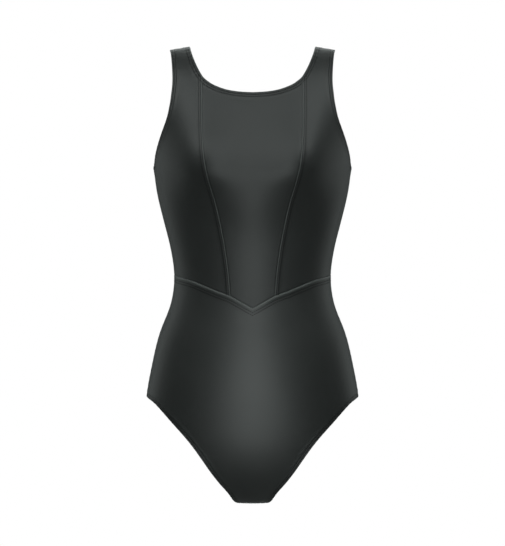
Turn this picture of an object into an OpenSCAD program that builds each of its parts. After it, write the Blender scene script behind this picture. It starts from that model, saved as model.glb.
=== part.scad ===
// Sleeveless stretch leotard in its worn shape: five outer panels, a front lining, a crotch lining,
// elastic in every turned hem, overlocked seams inside and twin-needle topstitching outside.
// Frame: +Z up, front towards -Y, the wearer's left side is +X.
// The origin is under the crotch, midway between the bust's and the seat's furthest points.

/* [Length] */
// Height of the strap tops above the crotch
strap_height = 664; // [640:0.5:700]
// Height of the leg openings' tops at the side seams
leg_rise = 157; // [140:1:166]
// Height of the waist seam at the side seams
waist_seam_height = 333; // [320:1:345]
// How far the waist seam dips to its point at centre front
waist_seam_dip = 33.6; // [20:0.1:60]
// Height of the armholes' lowest points
armhole_height = 487; // [475:1:495]
// Height of the front neckline at its centre
neck_height = 594.5; // [585:0.5:602]
// Height of the point of the back's V opening
back_point_height = 354; // [342:1:360]

/* [Width] */
// Width across the bust
bust_width = 286; // [270:1:300]
// Width across the waist
waist_width = 227; // [210:1:245]
// Width across the hips, at the tops of the leg openings
hip_width = 307; // [290:1:325]
// Width of the crotch between the leg openings
crotch_width = 44; // [38:1:56]
// Distance between the straps' inner edges at the shoulder seams
neck_width = 182; // [170:1:188]
// Width of each strap at its shoulder seam
strap_width = 29; // [24:1:36]
// Distance between the two princess seams at the neckline
princess_top_width = 140; // [130:1:146]
// Distance between the two princess seams at the waist seam
princess_waist_width = 61.2; // [50:0.2:80]

/* [Depth] */
// Front of the waist, forward of the side seams
waist_front = 83; // [74:1:90]
// Back of the waist, behind the side seams
waist_back = 70; // [62:1:78]
// Front of the belly
belly_front = 94; // [86:1:98]
// How far each bust cup stands out of the chest
bust_cup = 29; // [20:0.1:34]
// How far each half of the seat stands out of the back
seat_round = 15.2; // [8:0.1:18]

/* [Fabric] */
// Thickness of the outer fabric
fabric_thickness = 0.8; // [0.6:0.05:1]
// Thickness of the lining
lining_thickness = 0.5; // [0.3:0.05:0.6]
// Width of the elastic in the hems
elastic_width = 8; // [6:0.5:9]
// Thickness of the elastic
elastic_thickness = 0.8; // [0.5:0.05:0.9]
// Thickness of the topstitching thread
thread = 0.45; // [0.3:0.05:0.6]
// Distance between the two rows of topstitching
row_gap = 3.3; // [2.5:0.1:4]
// Width of the overlocked seam allowances inside
seam_allowance = 5; // [4:0.5:6]

/* [Hidden] */

FRONT = 1;
BACK = -1;
layer_gap = 0.3;       // air between one layer of fabric and the next
thread_lift = 0.1;     // air under the topstitching
neck_row = 3.5;        // distances from an edge or seam to the first of its two rows of topstitching
armhole_row = 3;
leg_row = 2.8;
princess_row = 1.9;
waist_row = 5.6;
stitch_pitch = 11;     // distance between the stations of a sewn line
shoulder = 700;        // station of the shoulder seams, counted over the top of the shoulder
front_crotch = -44;    // station of the crotch seam, counted down the front
back_crotch = -49;     // station of the crotch seam, counted down the back

outer_face = 0;
fabric_back = outer_face - fabric_thickness;
elastic_face = fabric_back - layer_gap;
elastic_back = elastic_face - elastic_thickness;
lining_face = elastic_back - layer_gap;
lining_back = lining_face - lining_thickness;

fabric_color = [0.235, 0.245, 0.243];
lining_color = [0.10, 0.105, 0.105];
elastic_color = [0.16, 0.165, 0.165];
thread_color = [0.07, 0.075, 0.075];

// ---------------------------------------------------------------- the body's form
// A station is a height on the torso. Under the crotch and over the shoulders it goes on counting
// along the curve, so it runs below 0 and up to the shoulder seam at 700.
// Each row: station, y and z of the centre line, half width, depth from the centre line in to the
// side line, and the turn of the cross-section (90 is flat under the crotch, -90 over the shoulder).
hip = hip_width / 2;
waist = waist_width / 2;
bust = bust_width / 2;

function mix(a, b, t) = a + (b - a) * t;

upper_widths = [
    [155, hip], [200, mix(hip, waist, 0.19)], [250, mix(hip, waist, 0.49)],
    [290, mix(hip, waist, 0.875)], [330, waist], [370, mix(waist, bust, 0.17)],
    [410, mix(waist, bust, 0.507)], [450, mix(waist, bust, 0.83)], [490, bust],
    [540, bust + 6], [580, bust + 10], [610, bust + 12],
];
front_depths = [
    [155, belly_front - 3], [200, belly_front], [250, belly_front - 2],
    [290, mix(belly_front, waist_front, 0.65)], [330, waist_front], [370, waist_front + 1],
    [410, waist_front + 5], [450, waist_front + 10], [490, waist_front + 13],
    [540, waist_front + 9], [580, waist_front - 2], [610, waist_front - 16],
];
back_depths = [
    [155, waist_back + 36], [200, waist_back + 30], [250, waist_back + 16],
    [290, waist_back + 5], [330, waist_back], [370, waist_back + 2],
    [410, waist_back + 9], [450, waist_back + 16], [490, waist_back + 20],
    [540, waist_back + 19], [580, waist_back + 9], [610, waist_back - 4],
];

// The turned ends. Their first and last rows lie past the seams, so that front and back meet smoothly.
front_under = [
    [-70.5, 32, 6, 70, 28, 112], [front_crotch, 6, 0, 62, 20, 90], [-16.5, -20, 8, 76, 29, 67],
    [10, -43, 21, hip - 55.5, 42, 49], [37, -60, 42, hip - 32.5, 56, 29],
    [62, -71.5, 64, hip - 15, 70, 12], [100, -83, 100, hip - 4.5, 83, 0],
];
back_under = [
    [-76, -20, 6, 76, 29, 104], [back_crotch, 6, 0, 62, 20, 90], [-29, 24, 8.8, 80, 30, 68],
    [-4, 48, 17, 104, 46, 61], [25, 72, 33, hip - 27.5, 66, 45], [55, 90, 57, hip - 13.5, 85, 25],
    [85.5, 100, 86, hip - 6.5, 98, 8], [105, 104, 105, hip - 3.2, 104, 0],
];
ridge = strap_height + 5.5; // the shoulders slope down from the neck to the straps
function over(s) = [
    [640, -s * 50, ridge - 33, bust + 14, 53, -35],
    [670, -s * 27, ridge - 12.5, bust + 15, 38, -62],
    [shoulder, 0, ridge, bust + 15, 30, -90],
    [730, s * 27, ridge - 12.5, bust + 15, 38, -118],
];

function torso(s, depths) = [
    for (i = [0:len(depths) - 1])
        let (h = depths[i][0], d = depths[i][1])
            [h, -s * d, h, upper_widths[i][1], d, h < 580 ? 0 : h == 580 ? -2 : -12]
];
form_rows = [
    concat(front_under, torso(FRONT, front_depths), over(FRONT)),
    concat(back_under, torso(BACK, back_depths), over(BACK)),
];

// Smooth columns through the rows of a form: Hermite spans, read back with lookup().
form_step = 5;
function slope(rows, c, i) =
    let (
        n = len(rows) - 1,
        before = (rows[max(i, 1)][c] - rows[max(i, 1) - 1][c]) / (rows[max(i, 1)][0] - rows[max(i, 1) - 1][0]),
        k = min(i, n - 1),
        after = (rows[k + 1][c] - rows[k][c]) / (rows[k + 1][0] - rows[k][0]),
        left = rows[max(i, 1)][0] - rows[max(i, 1) - 1][0],
        right = rows[k + 1][0] - rows[k][0]
    )
    (before * right + after * left) / (left + right);
function span(rows, c, i, t) =
    let (w = rows[i + 1][0] - rows[i][0], t2 = t * t, t3 = t * t * t)
    (2 * t3 - 3 * t2 + 1) * rows[i][c] + (t3 - 2 * t2 + t) * w * slope(rows, c, i)
    + (3 * t2 - 2 * t3) * rows[i + 1][c] + (t3 - t2) * w * slope(rows, c, i + 1);
function column(rows, c) = [
    for (i = [0:len(rows) - 2])
        let (n = ceil((rows[i + 1][0] - rows[i][0]) / form_step))
            for (j = [0:n - (i < len(rows) - 2 ? 1 : 0)])
                [mix(rows[i][0], rows[i + 1][0], j / n), span(rows, c, i, j / n)]
];
forms = [for (rows = form_rows) [for (c = [1:5]) column(rows, c)]];

function value(s, c, h) = lookup(h, forms[s == FRONT ? 0 : 1][c]);

// A bump on the form, mirrored to both sides: its rise, sideways place, station, and its reach
// sideways, upwards and downwards.
cup = [bust_cup, 76, 496, 58, 56, 40];
seat = [seat_round, 70, 124, 46, 60, 44];
function bell(x) = exp(-x * x);
function bump(b, x, h) =
    b[0] * (bell((x - b[1]) / b[3]) + bell((x + b[1]) / b[3])) * bell((h - b[2]) / (h > b[2] ? b[4] : b[5]));

// A place on the garment is [side, angle round the torso from its centre line, station].
function skin(q) =
    let (
        s = q[0], h = q[2],
        x = value(s, 2, h) * sin(q[1]),
        drop = value(s, 3, h) * (1 - cos(q[1])) - bump(s == FRONT ? cup : seat, x, h) * cos(q[1]),
        turn = value(s, 4, h)
    )
    [x, value(s, 0, h) + s * drop * cos(turn), value(s, 1, h) + drop * sin(turn)];

function round_step(q) = (skin([q[0], q[1] + 1, q[2]]) - skin([q[0], q[1] - 1, q[2]])) / 2;
function up_step(q) = (skin([q[0], q[1], q[2] + 1]) - skin([q[0], q[1], q[2] - 1])) / 2;
function unit(v) = v / norm(v);
function normal(q) = q[0] * unit(cross(round_step(q), up_step(q)));
function raised(q, lift) = skin(q) + normal(q) * lift;

// The place reached from q by the small step v along the surface.
function moved(q, v) =
    let (
        r = round_step(q), u = up_step(q),
        rr = r * r, ru = r * u, uu = u * u, d = rr * uu - ru * ru
    )
    [q[0], q[1] + (uu * (r * v) - ru * (u * v)) / d, q[2] + (rr * (u * v) - ru * (r * v)) / d];

// ---------------------------------------------------------------- seam lines and edges
// Each line is drawn on the wearer's left half, as [distance from the centre, station] points.
function at_side(h) = [value(FRONT, 2, h), h];
princess_top = [princess_top_width / 2, neck_height + 26.8];
princess_foot = [princess_waist_width / 2, waist_seam_height - waist_seam_dip * 0.53];
strap_inner = [neck_width / 2, shoulder];
strap_outer = [neck_width / 2 + strap_width, shoulder];

neckline = [
    [0, neck_height], [19, neck_height + 1.1], [36.2, neck_height + 4.2], [51.6, neck_height + 10.3],
    [61.4, neck_height + 17], princess_top, strap_inner - [12.9, 60], strap_inner - [6.8, 39.5],
    strap_inner - [2.4, 19], strap_inner,
];
waistline = [
    [0, waist_seam_height - waist_seam_dip], [14.2, waist_seam_height - waist_seam_dip * 0.78], princess_foot,
    [46.2, waist_seam_height - waist_seam_dip * 0.38], [64.9, waist_seam_height - waist_seam_dip * 0.2],
    [86.4, waist_seam_height - waist_seam_dip * 0.02], [waist - 8, waist_seam_height + 0.5],
    at_side(waist_seam_height),
];
princess_line = [
    princess_foot, princess_foot + [5.2, 53.3], princess_foot + [11.9, 92.1], princess_foot + [19.7, 128.6],
    princess_top - [11.4, 147.4], princess_top - [5.9, 120.8], princess_top - [3, 91],
    princess_top - [1.3, 57], princess_top,
];
front_armhole = [
    at_side(armhole_height), [bust - 2.2, armhole_height + 4.4], [bust - 5, armhole_height + 18.3],
    [bust - 11.9, armhole_height + 40.8], [bust - 22.1, armhole_height + 68.6], strap_outer - [3.9, 122.4],
    strap_outer - [5.9, 103.3], strap_outer - [6.9, 84.4], strap_outer - [6, 59.8],
    strap_outer - [3.7, 31.7], strap_outer,
];
back_armhole = [
    at_side(armhole_height), [bust - 2.1, armhole_height + 3.3], [bust - 6.8, armhole_height + 14.4],
    [bust - 15.5, armhole_height + 27.2], [bust - 21.7, armhole_height + 45.6], strap_outer - [0.7, 141.4],
    strap_outer - [1.1, 111.7], strap_outer - [1, 84.3], strap_outer - [0.8, 59.7],
    strap_outer - [0.7, 31.7], strap_outer,
];
back_opening = [
    [0, back_point_height], [13.1, back_point_height + 16], [30.4, back_point_height + 39.4],
    [47.8, back_point_height + 67.1], [62.9, back_point_height + 93.8], [74.8, back_point_height + 126],
    [82.5, back_point_height + 160], strap_inner - [4, 149], strap_inner - [1.4, 112.1],
    strap_inner - [0.4, 84.4], strap_inner - [0, 59.9], strap_inner - [-0.1, 32.1], strap_inner,
];
crotch = crotch_width / 2;
front_leg = [
    [crotch, front_crotch], [crotch + 2, -18], [crotch + 10, 18.8], [crotch + 24.6, 45.7],
    [hip - 84.3, leg_rise - 73.4], [hip - 61.3, leg_rise - 41.1], [hip - 35.2, leg_rise - 16.1],
    [hip - 16.5, leg_rise - 1.7], [hip - 5, leg_rise + 1.5], at_side(leg_rise),
];
back_leg = [
    [crotch, back_crotch], [crotch + 3.5, -36], [crotch + 12, -14], [crotch + 26, 12], [hip - 87.6, 28.5],
    [hip - 73.5, 45.2], [hip - 57.8, 61.6], [hip - 44.7, 79.2], [hip - 33.8, 98.5],
    [hip - 21.4, 119.3], [hip - 11.4, leg_rise - 19.8], [hip - 4.2, leg_rise - 8.8], at_side(leg_rise),
];

line_steps = 8; // points drawn between two given points of a line

function between(p, i, t) =
    let (
        a = p[max(i - 1, 0)], b = p[i], c = p[i + 1], d = p[min(i + 2, len(p) - 1)],
        t2 = t * t, t3 = t2 * t
    )
    (2 * b + (c - a) * t + (2 * a - 5 * b + 4 * c - d) * t2 + (3 * b - a - 3 * c + d) * t3) / 2;
function angle_of(s, p) = [asin(min(1, p[0] / value(s, 2, p[1]))), p[1]];
function totals(v, i = 0, sum = 0) = i == len(v) ? [sum] : concat([sum], totals(v, i + 1, sum + v[i]));

// A track holds a line's running lengths, angles and stations, on one side of the garment.
function track(s, given) =
    let (
        angles = [for (p = given) angle_of(s, p)],
        n = len(given) - 1,
        drawn = [for (i = [0:n - 1], j = [0:line_steps - 1]) between(angles, i, j / line_steps)],
        points = concat(drawn, [angles[n]]),
        places = [for (p = points) skin([s, p[0], p[1]])],
        lengths = totals([for (i = [1:len(places) - 1]) norm(places[i] - places[i - 1])])
    )
    [
        s, lengths,
        [for (i = [0:len(points) - 1]) [lengths[i], points[i][0]]],
        [for (i = [0:len(points) - 1]) [lengths[i], points[i][1]]],
    ];
function length_at(t, i) = t[1][i * line_steps];
function count(t) = (len(t[1]) - 1) / line_steps;

// n + 1 places along a track from its given point i to its given point k, evenly spaced.
function run(t, n, i = 0, k = undef) =
    let (from = length_at(t, i), to = length_at(t, is_undef(k) ? count(t) : k))
    [for (j = [0:n]) let (l = mix(from, to, j / n)) [t[0], lookup(l, t[2]), lookup(l, t[3])]];

function mirrored(places) = [for (q = places) [q[0], -q[1], q[2]]];
function backwards(places) = [for (i = [len(places) - 1:-1:0]) places[i]];
function joined(a, b) = concat(a, [for (i = [1:len(b) - 1]) b[i]]);
function across(places) = joined(mirrored(backwards(places)), places);
function straight(a, b, n) = [for (i = [0:n]) mix(a, b, i / n)];
function steps(t, i = 0, k = undef) =
    max(3, round((length_at(t, is_undef(k) ? count(t) : k) - length_at(t, i)) / stitch_pitch));

neck_track = track(FRONT, neckline);
waist_track = track(FRONT, waistline);
princess_track = track(FRONT, princess_line);
front_armhole_track = track(FRONT, front_armhole);
back_armhole_track = track(BACK, back_armhole);
opening_track = track(BACK, back_opening);
front_leg_track = track(FRONT, front_leg);
back_leg_track = track(BACK, back_leg);
seam_of_neck = 5;     // the neckline's given point where the princess seam starts
seam_of_waist = 2;    // the waistline's given point where the princess seam ends

function side_line(s, low, high, n) = straight([s, 90, low], [s, 90, high], n);
function shoulder_line(s, n) =
    let (a = angle_of(s, strap_inner), b = angle_of(s, strap_outer))
    straight([s, a[0], shoulder], [s, b[0], shoulder], n);

// ---------------------------------------------------------------- solids on the form
// A patch fills four edges, with i going up the garment and j to the viewer's right of its outside.
function patch(bottom, top, left, right) =
    let (n = len(left) - 1, m = len(bottom) - 1)
    [
        for (i = [0:n])
            [
                for (j = [0:m])
                    let (v = i / n, u = j / m)
                    mix(bottom[j], top[j], v) + mix(left[i], right[i], u)
                    - mix(mix(bottom[0], bottom[m], u), mix(top[0], top[m], u), v)
            ]
    ];

// Two faces of a sheet, joined round its rim. Columns past the cut are separate from row cut_row up,
// which leaves a slit there that widens into the neckline or the back's opening.
module sheet(grid, face, back, cut_row = undef) {
    rows = len(grid) - 1;
    columns = len(grid[0]) - 1;
    middle = (columns - 1) / 2;
    is_cut = !is_undef(cut_row);
    places = [for (row = grid) for (q = row) q];
    total = len(places);
    function id(i, j, layer) =
        layer * total + i * (columns + 1) + (is_cut && j == middle + 1 && i <= cut_row ? middle : j);
    function has(i, j) =
        i >= 0 && i < rows && j >= 0 && j < columns && !(is_cut && j == middle);
    function quad(a, b, c, d) = [[a, b, c], [a, c, d]];
    function joins(i, j) = is_cut && i < cut_row && (j == middle - 1 || j == middle + 1);
    cells = [for (i = [0:rows - 1]) for (j = [0:columns - 1]) if (has(i, j)) [i, j]];
    faces = [
        for (c = cells)
            let (i = c[0], j = c[1])
            for (f = concat(
                quad(id(i, j, 0), id(i + 1, j, 0), id(i + 1, j + 1, 0), id(i, j + 1, 0)),
                quad(id(i, j, 1), id(i, j + 1, 1), id(i + 1, j + 1, 1), id(i + 1, j, 1)),
                has(i - 1, j) ? [] : quad(id(i, j, 0), id(i, j + 1, 0), id(i, j + 1, 1), id(i, j, 1)),
                has(i + 1, j) ? [] : quad(id(i + 1, j + 1, 0), id(i + 1, j, 0), id(i + 1, j, 1), id(i + 1, j + 1, 1)),
                has(i, j - 1) || (joins(i, j) && j > middle) ? []
                    : quad(id(i + 1, j, 0), id(i, j, 0), id(i, j, 1), id(i + 1, j, 1)),
                has(i, j + 1) || (joins(i, j) && j < middle) ? []
                    : quad(id(i, j + 1, 0), id(i + 1, j + 1, 0), id(i + 1, j + 1, 1), id(i, j + 1, 1))
            )) f
    ];
    polyhedron(concat([for (q = places) raised(q, face)], [for (q = places) raised(q, back)]), faces);
}

// A flat strip along a line. Its width runs from near to far, measured to the left of the line as
// seen from outside, and its thickness from low to high, measured out of the form.
module ribbon(line, near, far, low, high, closed = false) {
    n = len(line);
    spots = [for (q = line) skin(q)];
    function next(i) = closed ? (i + 1) % n : min(i + 1, n - 1);
    function last(i) = closed ? (i + n - 1) % n : max(i - 1, 0);
    rings = [
        for (i = [0:n - 1])
            let (
                q = line[i],
                ahead = unit(spots[next(i)] - spots[min(i, next(i) == i ? i - 1 : i)]),
                behind = last(i) == i ? ahead : unit(spots[i] - spots[last(i)]),
                way = unit(ahead + behind),
                left = unit(cross(normal(q), way)) / max(0.5, way * behind),
                a = moved(q, left * near),
                b = moved(q, left * far)
            )
            [raised(a, low), raised(b, low), raised(b, high), raised(a, high)]
    ];
    sides = [
        for (i = [0:n - (closed ? 1 : 2)], j = [0:3])
            let (a = 4 * i + j, b = 4 * next(i) + j, c = 4 * next(i) + (j + 1) % 4, d = 4 * i + (j + 1) % 4)
            for (f = [[a, b, c], [a, c, d]]) f
    ];
    e = 4 * (n - 1);
    caps = closed ? [] : [[0, 1, 2], [0, 2, 3], [e + 2, e + 1, e], [e + 3, e + 2, e]];
    polyhedron([for (r = rings) for (p = r) p], concat(sides, caps));
}

// Two rows of thread along a line, on its left where way is 1 and on its right where way is -1.
module twin_rows(line, way, first, closed = true) {
    low = thread_lift;
    color(thread_color)
        for (d = [first, first + row_gap])
            ribbon(line, min(way * d, way * (d + thread)), max(way * d, way * (d + thread)),
                low, low + thread, closed);
}

module hem_elastic(line, way) {
    near = way * 1;
    far = way * (1 + elastic_width);
    color(elastic_color) ribbon(line, min(near, far), max(near, far), elastic_back, elastic_face, true);
}

module overlocked_seam(line) {
    color(thread_color)
        ribbon(line, -seam_allowance / 2, seam_allowance / 2, elastic_back, elastic_face);
}

// ---------------------------------------------------------------- closed lines round the openings
function without_ends(places) = [for (i = [1:len(places) - 2]) places[i]];

front_half_neck = run(neck_track, steps(neck_track));
back_half_opening = run(opening_track, steps(opening_track));
neck_loop = concat(
    front_half_neck, without_ends(backwards(back_half_opening)),
    mirrored(back_half_opening), without_ends(mirrored(backwards(front_half_neck)))
);
armhole_loop = concat(
    run(front_armhole_track, steps(front_armhole_track)),
    without_ends(backwards(run(back_armhole_track, steps(back_armhole_track))))
);
leg_loop = concat(
    backwards(run(front_leg_track, steps(front_leg_track))),
    without_ends(run(back_leg_track, steps(back_leg_track)))
);

// ---------------------------------------------------------------- outer panels
module front_center_panel() {
    waist_half = run(waist_track, 6, 0, seam_of_waist);
    neck_half = run(neck_track, 6, 0, seam_of_neck);
    seam = run(princess_track, 22);
    color(fabric_color)
        sheet(patch(across(waist_half), across(neck_half), mirrored(seam), seam), outer_face, fabric_back);
}

module front_side_panel() {
    inner = joined(run(princess_track, 18), run(neck_track, 6, seam_of_neck));
    outer = joined(side_line(FRONT, waist_seam_height, armhole_height, 9), run(front_armhole_track, 15));
    color(fabric_color)
        sheet(patch(run(waist_track, 8, seam_of_waist), shoulder_line(FRONT, 8), inner, outer),
            outer_face, fabric_back);
}

module front_brief_panel() {
    outer = joined(run(front_leg_track, 14), side_line(FRONT, leg_rise, waist_seam_height, 9));
    crotch_half = straight([FRONT, 0, front_crotch], outer[0], 8);
    color(fabric_color)
        sheet(patch(across(crotch_half), across(run(waist_track, 8)), mirrored(outer), outer),
            outer_face, fabric_back);
}

// Both halves of a panel that is whole up to an opening in its middle and splits in two above it.
function halves(half) = [for (row = half) concat(mirrored(backwards(row)), row)];
function flipped(grid) = [for (row = grid) backwards(row)];

module back_panel() {
    outer = joined(joined(run(back_leg_track, 14), side_line(BACK, leg_rise, armhole_height, 16)),
        run(back_armhole_track, 10));
    whole_rows = 24;
    middle = joined(straight([BACK, 0, back_crotch], [BACK, 0, back_point_height], whole_rows),
        run(opening_track, 16));
    crotch_half = straight([BACK, 0, back_crotch], outer[0], 8);
    color(fabric_color)
        sheet(flipped(halves(patch(crotch_half, shoulder_line(BACK, 8), middle, outer))),
            outer_face, fabric_back, whole_rows);
}

// ---------------------------------------------------------------- linings
module front_bodice_lining() {
    outer = joined(side_line(FRONT, waist_seam_height, armhole_height, 9), run(front_armhole_track, 15));
    whole_rows = 16;
    middle = joined(straight([FRONT, 0, waist_seam_height - waist_seam_dip], [FRONT, 0, neck_height], whole_rows),
        run(neck_track, 8));
    color(lining_color)
        sheet(halves(patch(run(waist_track, 8), shoulder_line(FRONT, 8), middle, outer)),
            lining_face, lining_back, whole_rows);
}

module crotch_lining() {
    front_top = 2;      // the leg edge's given points that the lining reaches in front and behind
    back_top = 4;
    front_edge = backwards(run(front_leg_track, 5, 0, front_top + 1));
    back_edge = run(back_leg_track, 6, 0, back_top);
    function row(q) = straight(q, [q[0], -q[1], q[2]], 6);
    color(lining_color)
        sheet([for (q = concat(front_edge, without_ends(concat(back_edge, [0])))) row(q)],
            lining_face, lining_back);
}

// ---------------------------------------------------------------- elastic, seams and thread
module neck_elastic() { hem_elastic(neck_loop, -1); }
module armhole_elastic() { hem_elastic(armhole_loop, 1); }
module leg_elastic() { hem_elastic(leg_loop, -1); }

pinch_length = 32; // height of the gathers below the back's point

module back_pinch_elastic() {
    top = back_point_height - 11;
    color(elastic_color)
        ribbon(straight([BACK, 0, top - pinch_length], [BACK, 0, top], 6), -3, 3, elastic_back, elastic_face);
}

module back_pinch_bartack() {
    top = back_point_height - neck_row - row_gap - 5;
    color(thread_color)
        ribbon(straight([BACK, 0, top - 8], [BACK, 0, top], 3), -1, 1, thread_lift, thread_lift + thread);
}

hem_clear = elastic_width + 3; // a seam's allowances stop this far from a hem's edge

module shoulder_seam() {
    line = shoulder_line(FRONT, 8);
    overlocked_seam([for (q = line) if (
        norm(skin(q) - skin(line[0])) > hem_clear - 1 && norm(skin(q) - skin(line[8])) > hem_clear - 1) q]);
}

module side_seam() {
    overlocked_seam(side_line(FRONT, leg_rise + hem_clear, armhole_height - hem_clear, 28));
}

module princess_seam() {
    seam = run(princess_track, steps(princess_track));
    overlocked_seam([for (i = [1:len(seam) - 2]) seam[i]]);
}

module waist_seam() {
    half = run(waist_track, steps(waist_track));
    overlocked_seam(across([for (i = [0:len(half) - 2]) half[i]]));
}

module crotch_seam() {
    reach = [FRONT, angle_of(FRONT, [crotch - hem_clear, front_crotch])[0], front_crotch];
    overlocked_seam(across(straight([FRONT, 0, front_crotch], reach, 2)));
}

module neck_topstitch() { twin_rows(neck_loop, -1, neck_row); }
module armhole_topstitch() { twin_rows(armhole_loop, 1, armhole_row); }
module leg_topstitch() { twin_rows(leg_loop, -1, leg_row); }

module princess_topstitch() {
    twin_rows(run(princess_track, steps(princess_track)), -1, princess_row, false);
}

module waist_topstitch() {
    twin_rows(across(run(waist_track, steps(waist_track))), -1, waist_row, false);
}

module other_side() { mirror([1, 0, 0]) children(); }

front_center_panel();
front_side_panel();  // front_side_panel_left
other_side() front_side_panel();  // front_side_panel_right
front_brief_panel();
back_panel();
front_bodice_lining();
crotch_lining();
neck_elastic();
armhole_elastic();  // armhole_elastic_left
other_side() armhole_elastic();  // armhole_elastic_right
leg_elastic();  // leg_elastic_left
other_side() leg_elastic();  // leg_elastic_right
back_pinch_elastic();
shoulder_seam();  // shoulder_seam_left
other_side() shoulder_seam();  // shoulder_seam_right
side_seam();  // side_seam_left
other_side() side_seam();  // side_seam_right
princess_seam();  // princess_seam_left
other_side() princess_seam();  // princess_seam_right
waist_seam();
crotch_seam();
neck_topstitch();
armhole_topstitch();  // armhole_topstitch_left
other_side() armhole_topstitch();  // armhole_topstitch_right
leg_topstitch();  // leg_topstitch_left
other_side() leg_topstitch();  // leg_topstitch_right
princess_topstitch();  // princess_topstitch_left
other_side() princess_topstitch();  // princess_topstitch_right
waist_topstitch();
back_pinch_bartack();
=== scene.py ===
"""Sleeveless stretch leotard in its worn shape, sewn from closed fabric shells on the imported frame.

Lengths in the script are millimetres and are turned into metres when a mesh is made. A place on the
garment is (side, angle round the torso in degrees, station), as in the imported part: the station is a
height on the torso that goes on counting under the crotch and over the shoulders.
"""

import copy
import dataclasses
import functools
import math

import bpy
import numpy as np
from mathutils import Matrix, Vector
from mathutils.bvhtree import BVHTree
from mathutils.kdtree import KDTree


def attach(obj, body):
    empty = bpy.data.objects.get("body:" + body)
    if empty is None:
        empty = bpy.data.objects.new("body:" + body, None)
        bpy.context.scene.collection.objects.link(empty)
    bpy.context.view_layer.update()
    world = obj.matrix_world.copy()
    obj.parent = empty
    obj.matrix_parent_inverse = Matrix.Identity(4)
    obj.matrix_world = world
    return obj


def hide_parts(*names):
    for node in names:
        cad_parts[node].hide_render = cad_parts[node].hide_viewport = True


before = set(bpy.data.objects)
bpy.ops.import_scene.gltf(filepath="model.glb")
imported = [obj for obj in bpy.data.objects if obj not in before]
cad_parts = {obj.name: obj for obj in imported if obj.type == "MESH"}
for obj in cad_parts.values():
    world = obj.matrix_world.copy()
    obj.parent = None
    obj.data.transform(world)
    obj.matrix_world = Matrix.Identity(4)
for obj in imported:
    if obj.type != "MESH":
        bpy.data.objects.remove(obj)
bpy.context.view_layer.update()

MM = 0.001
FRONT = 1
BACK = -1

# ---------- sizes of the sewing
FABRIC = 0.8  # thickness of the outer fabric
LINING = 0.4
ROLL = 1.2  # outer radius of a turned hem, which holds fabric, elastic and fabric
HEM = 10.0  # depth of the turned allowance
ROW_GAP = 3.3  # between the two rows of topstitching
NECK_ROW = 3.5  # from the edge to the first row
ARMHOLE_ROW = 3.0
LEG_ROW = 2.8
PRINCESS_ROW = 1.9
WAIST_ROW = 5.6
STITCH_PITCH = 3.2
STITCH_LENGTH = 2.1
LINING_TUCK = 8.6  # the lining's edge lies this far in, under the turned hem
SHOULDER = 700.0  # station of the shoulder seams
BACK_POINT = 354.0  # station of the point of the back's opening
HIP = 153.5
WAIST = 113.5
BUST = 143.0


# ---------- the body's form
def mix(a, b, t):
    return a + (b - a) * t


def torso(side, depths):
    """Rows from the hips to the chest, where the front and the back are equally wide."""
    heights = (155, 200, 250, 290, 330, 370, 410, 450, 490, 540, 580, 610)
    widths = [mix(HIP, WAIST, t) for t in (0, 0.19, 0.49, 0.875, 1)]
    widths += [mix(WAIST, BUST, t) for t in (0.17, 0.507, 0.83, 1)]
    widths += [BUST + 6, BUST + 10, BUST + 12]
    turns = {580: -2, 610: -12}
    return [[h, -side * d, h, w, d, turns.get(h, 0)] for h, w, d in zip(heights, widths, depths)]


def over_shoulder(side):
    """Rows of the straps, alike in front and behind, to just beyond the top of the shoulder."""
    return [
        [640, -side * 50, 636.5, BUST + 14, 53, -35],
        [670, -side * 27, 657, BUST + 15, 38, -62],
        [SHOULDER, 0, 669.5, BUST + 15, 30, -90],
        [730, side * 27, 657, BUST + 15, 38, -118],
    ]


# Each row: station, y and z of the centre line, half width, depth in to the side line, turn.
FRONT_ROWS = [
    [-70.5, 32, 6, 70, 28, 112],
    [-44, 6, 0, 62, 20, 90],
    [-16.5, -20, 8, 76, 29, 67],
    [10, -43, 21, 98, 42, 49],
    [37, -60, 42, 121, 56, 29],
    [62, -71.5, 64, 138.5, 70, 12],
    [100, -83, 100, 149, 83, 0],
    *torso(FRONT, [91, 94, 92, 86.85, 83, 84, 88, 93, 96, 92, 81, 67]),
    *over_shoulder(FRONT),
]
BACK_ROWS = [
    [-76, -20, 6, 76, 29, 104],
    [-49, 6, 0, 62, 20, 90],
    [-29, 24, 8.8, 80, 30, 68],
    [-4, 48, 17, 104, 46, 61],
    [25, 72, 33, 126, 66, 45],
    [55, 90, 57, 140, 85, 25],
    [85.5, 100, 86, 147, 98, 8],
    [105, 104, 105, 150.3, 104, 0],
    *torso(BACK, [106, 100, 86, 75, 70, 72, 79, 86, 90, 89, 79, 66]),
    *over_shoulder(BACK),
]
# Rise, sideways place, station, and reach sideways, upwards and downwards.
CUP = (29.0, 76, 496, 58, 56, 40)
SEAT = (15.2, 70, 124, 46, 60, 44)
# The stretched centre panel bridges the hollows between and under the cups: rise, reach sideways,
# station, and reach up and down.
BRIDGES = [(4.0, 36, 500, 46), (8.0, 66, 444, 46)]


def bell(d, width):
    return np.exp(-((d / width) ** 2))


def fade(d, low, high):
    """1 up to low, 0 from high on, smooth between."""
    t = np.clip((d - low) / (high - low), 0, 1)
    return 1 - t * t * (3 - 2 * t)


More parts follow.
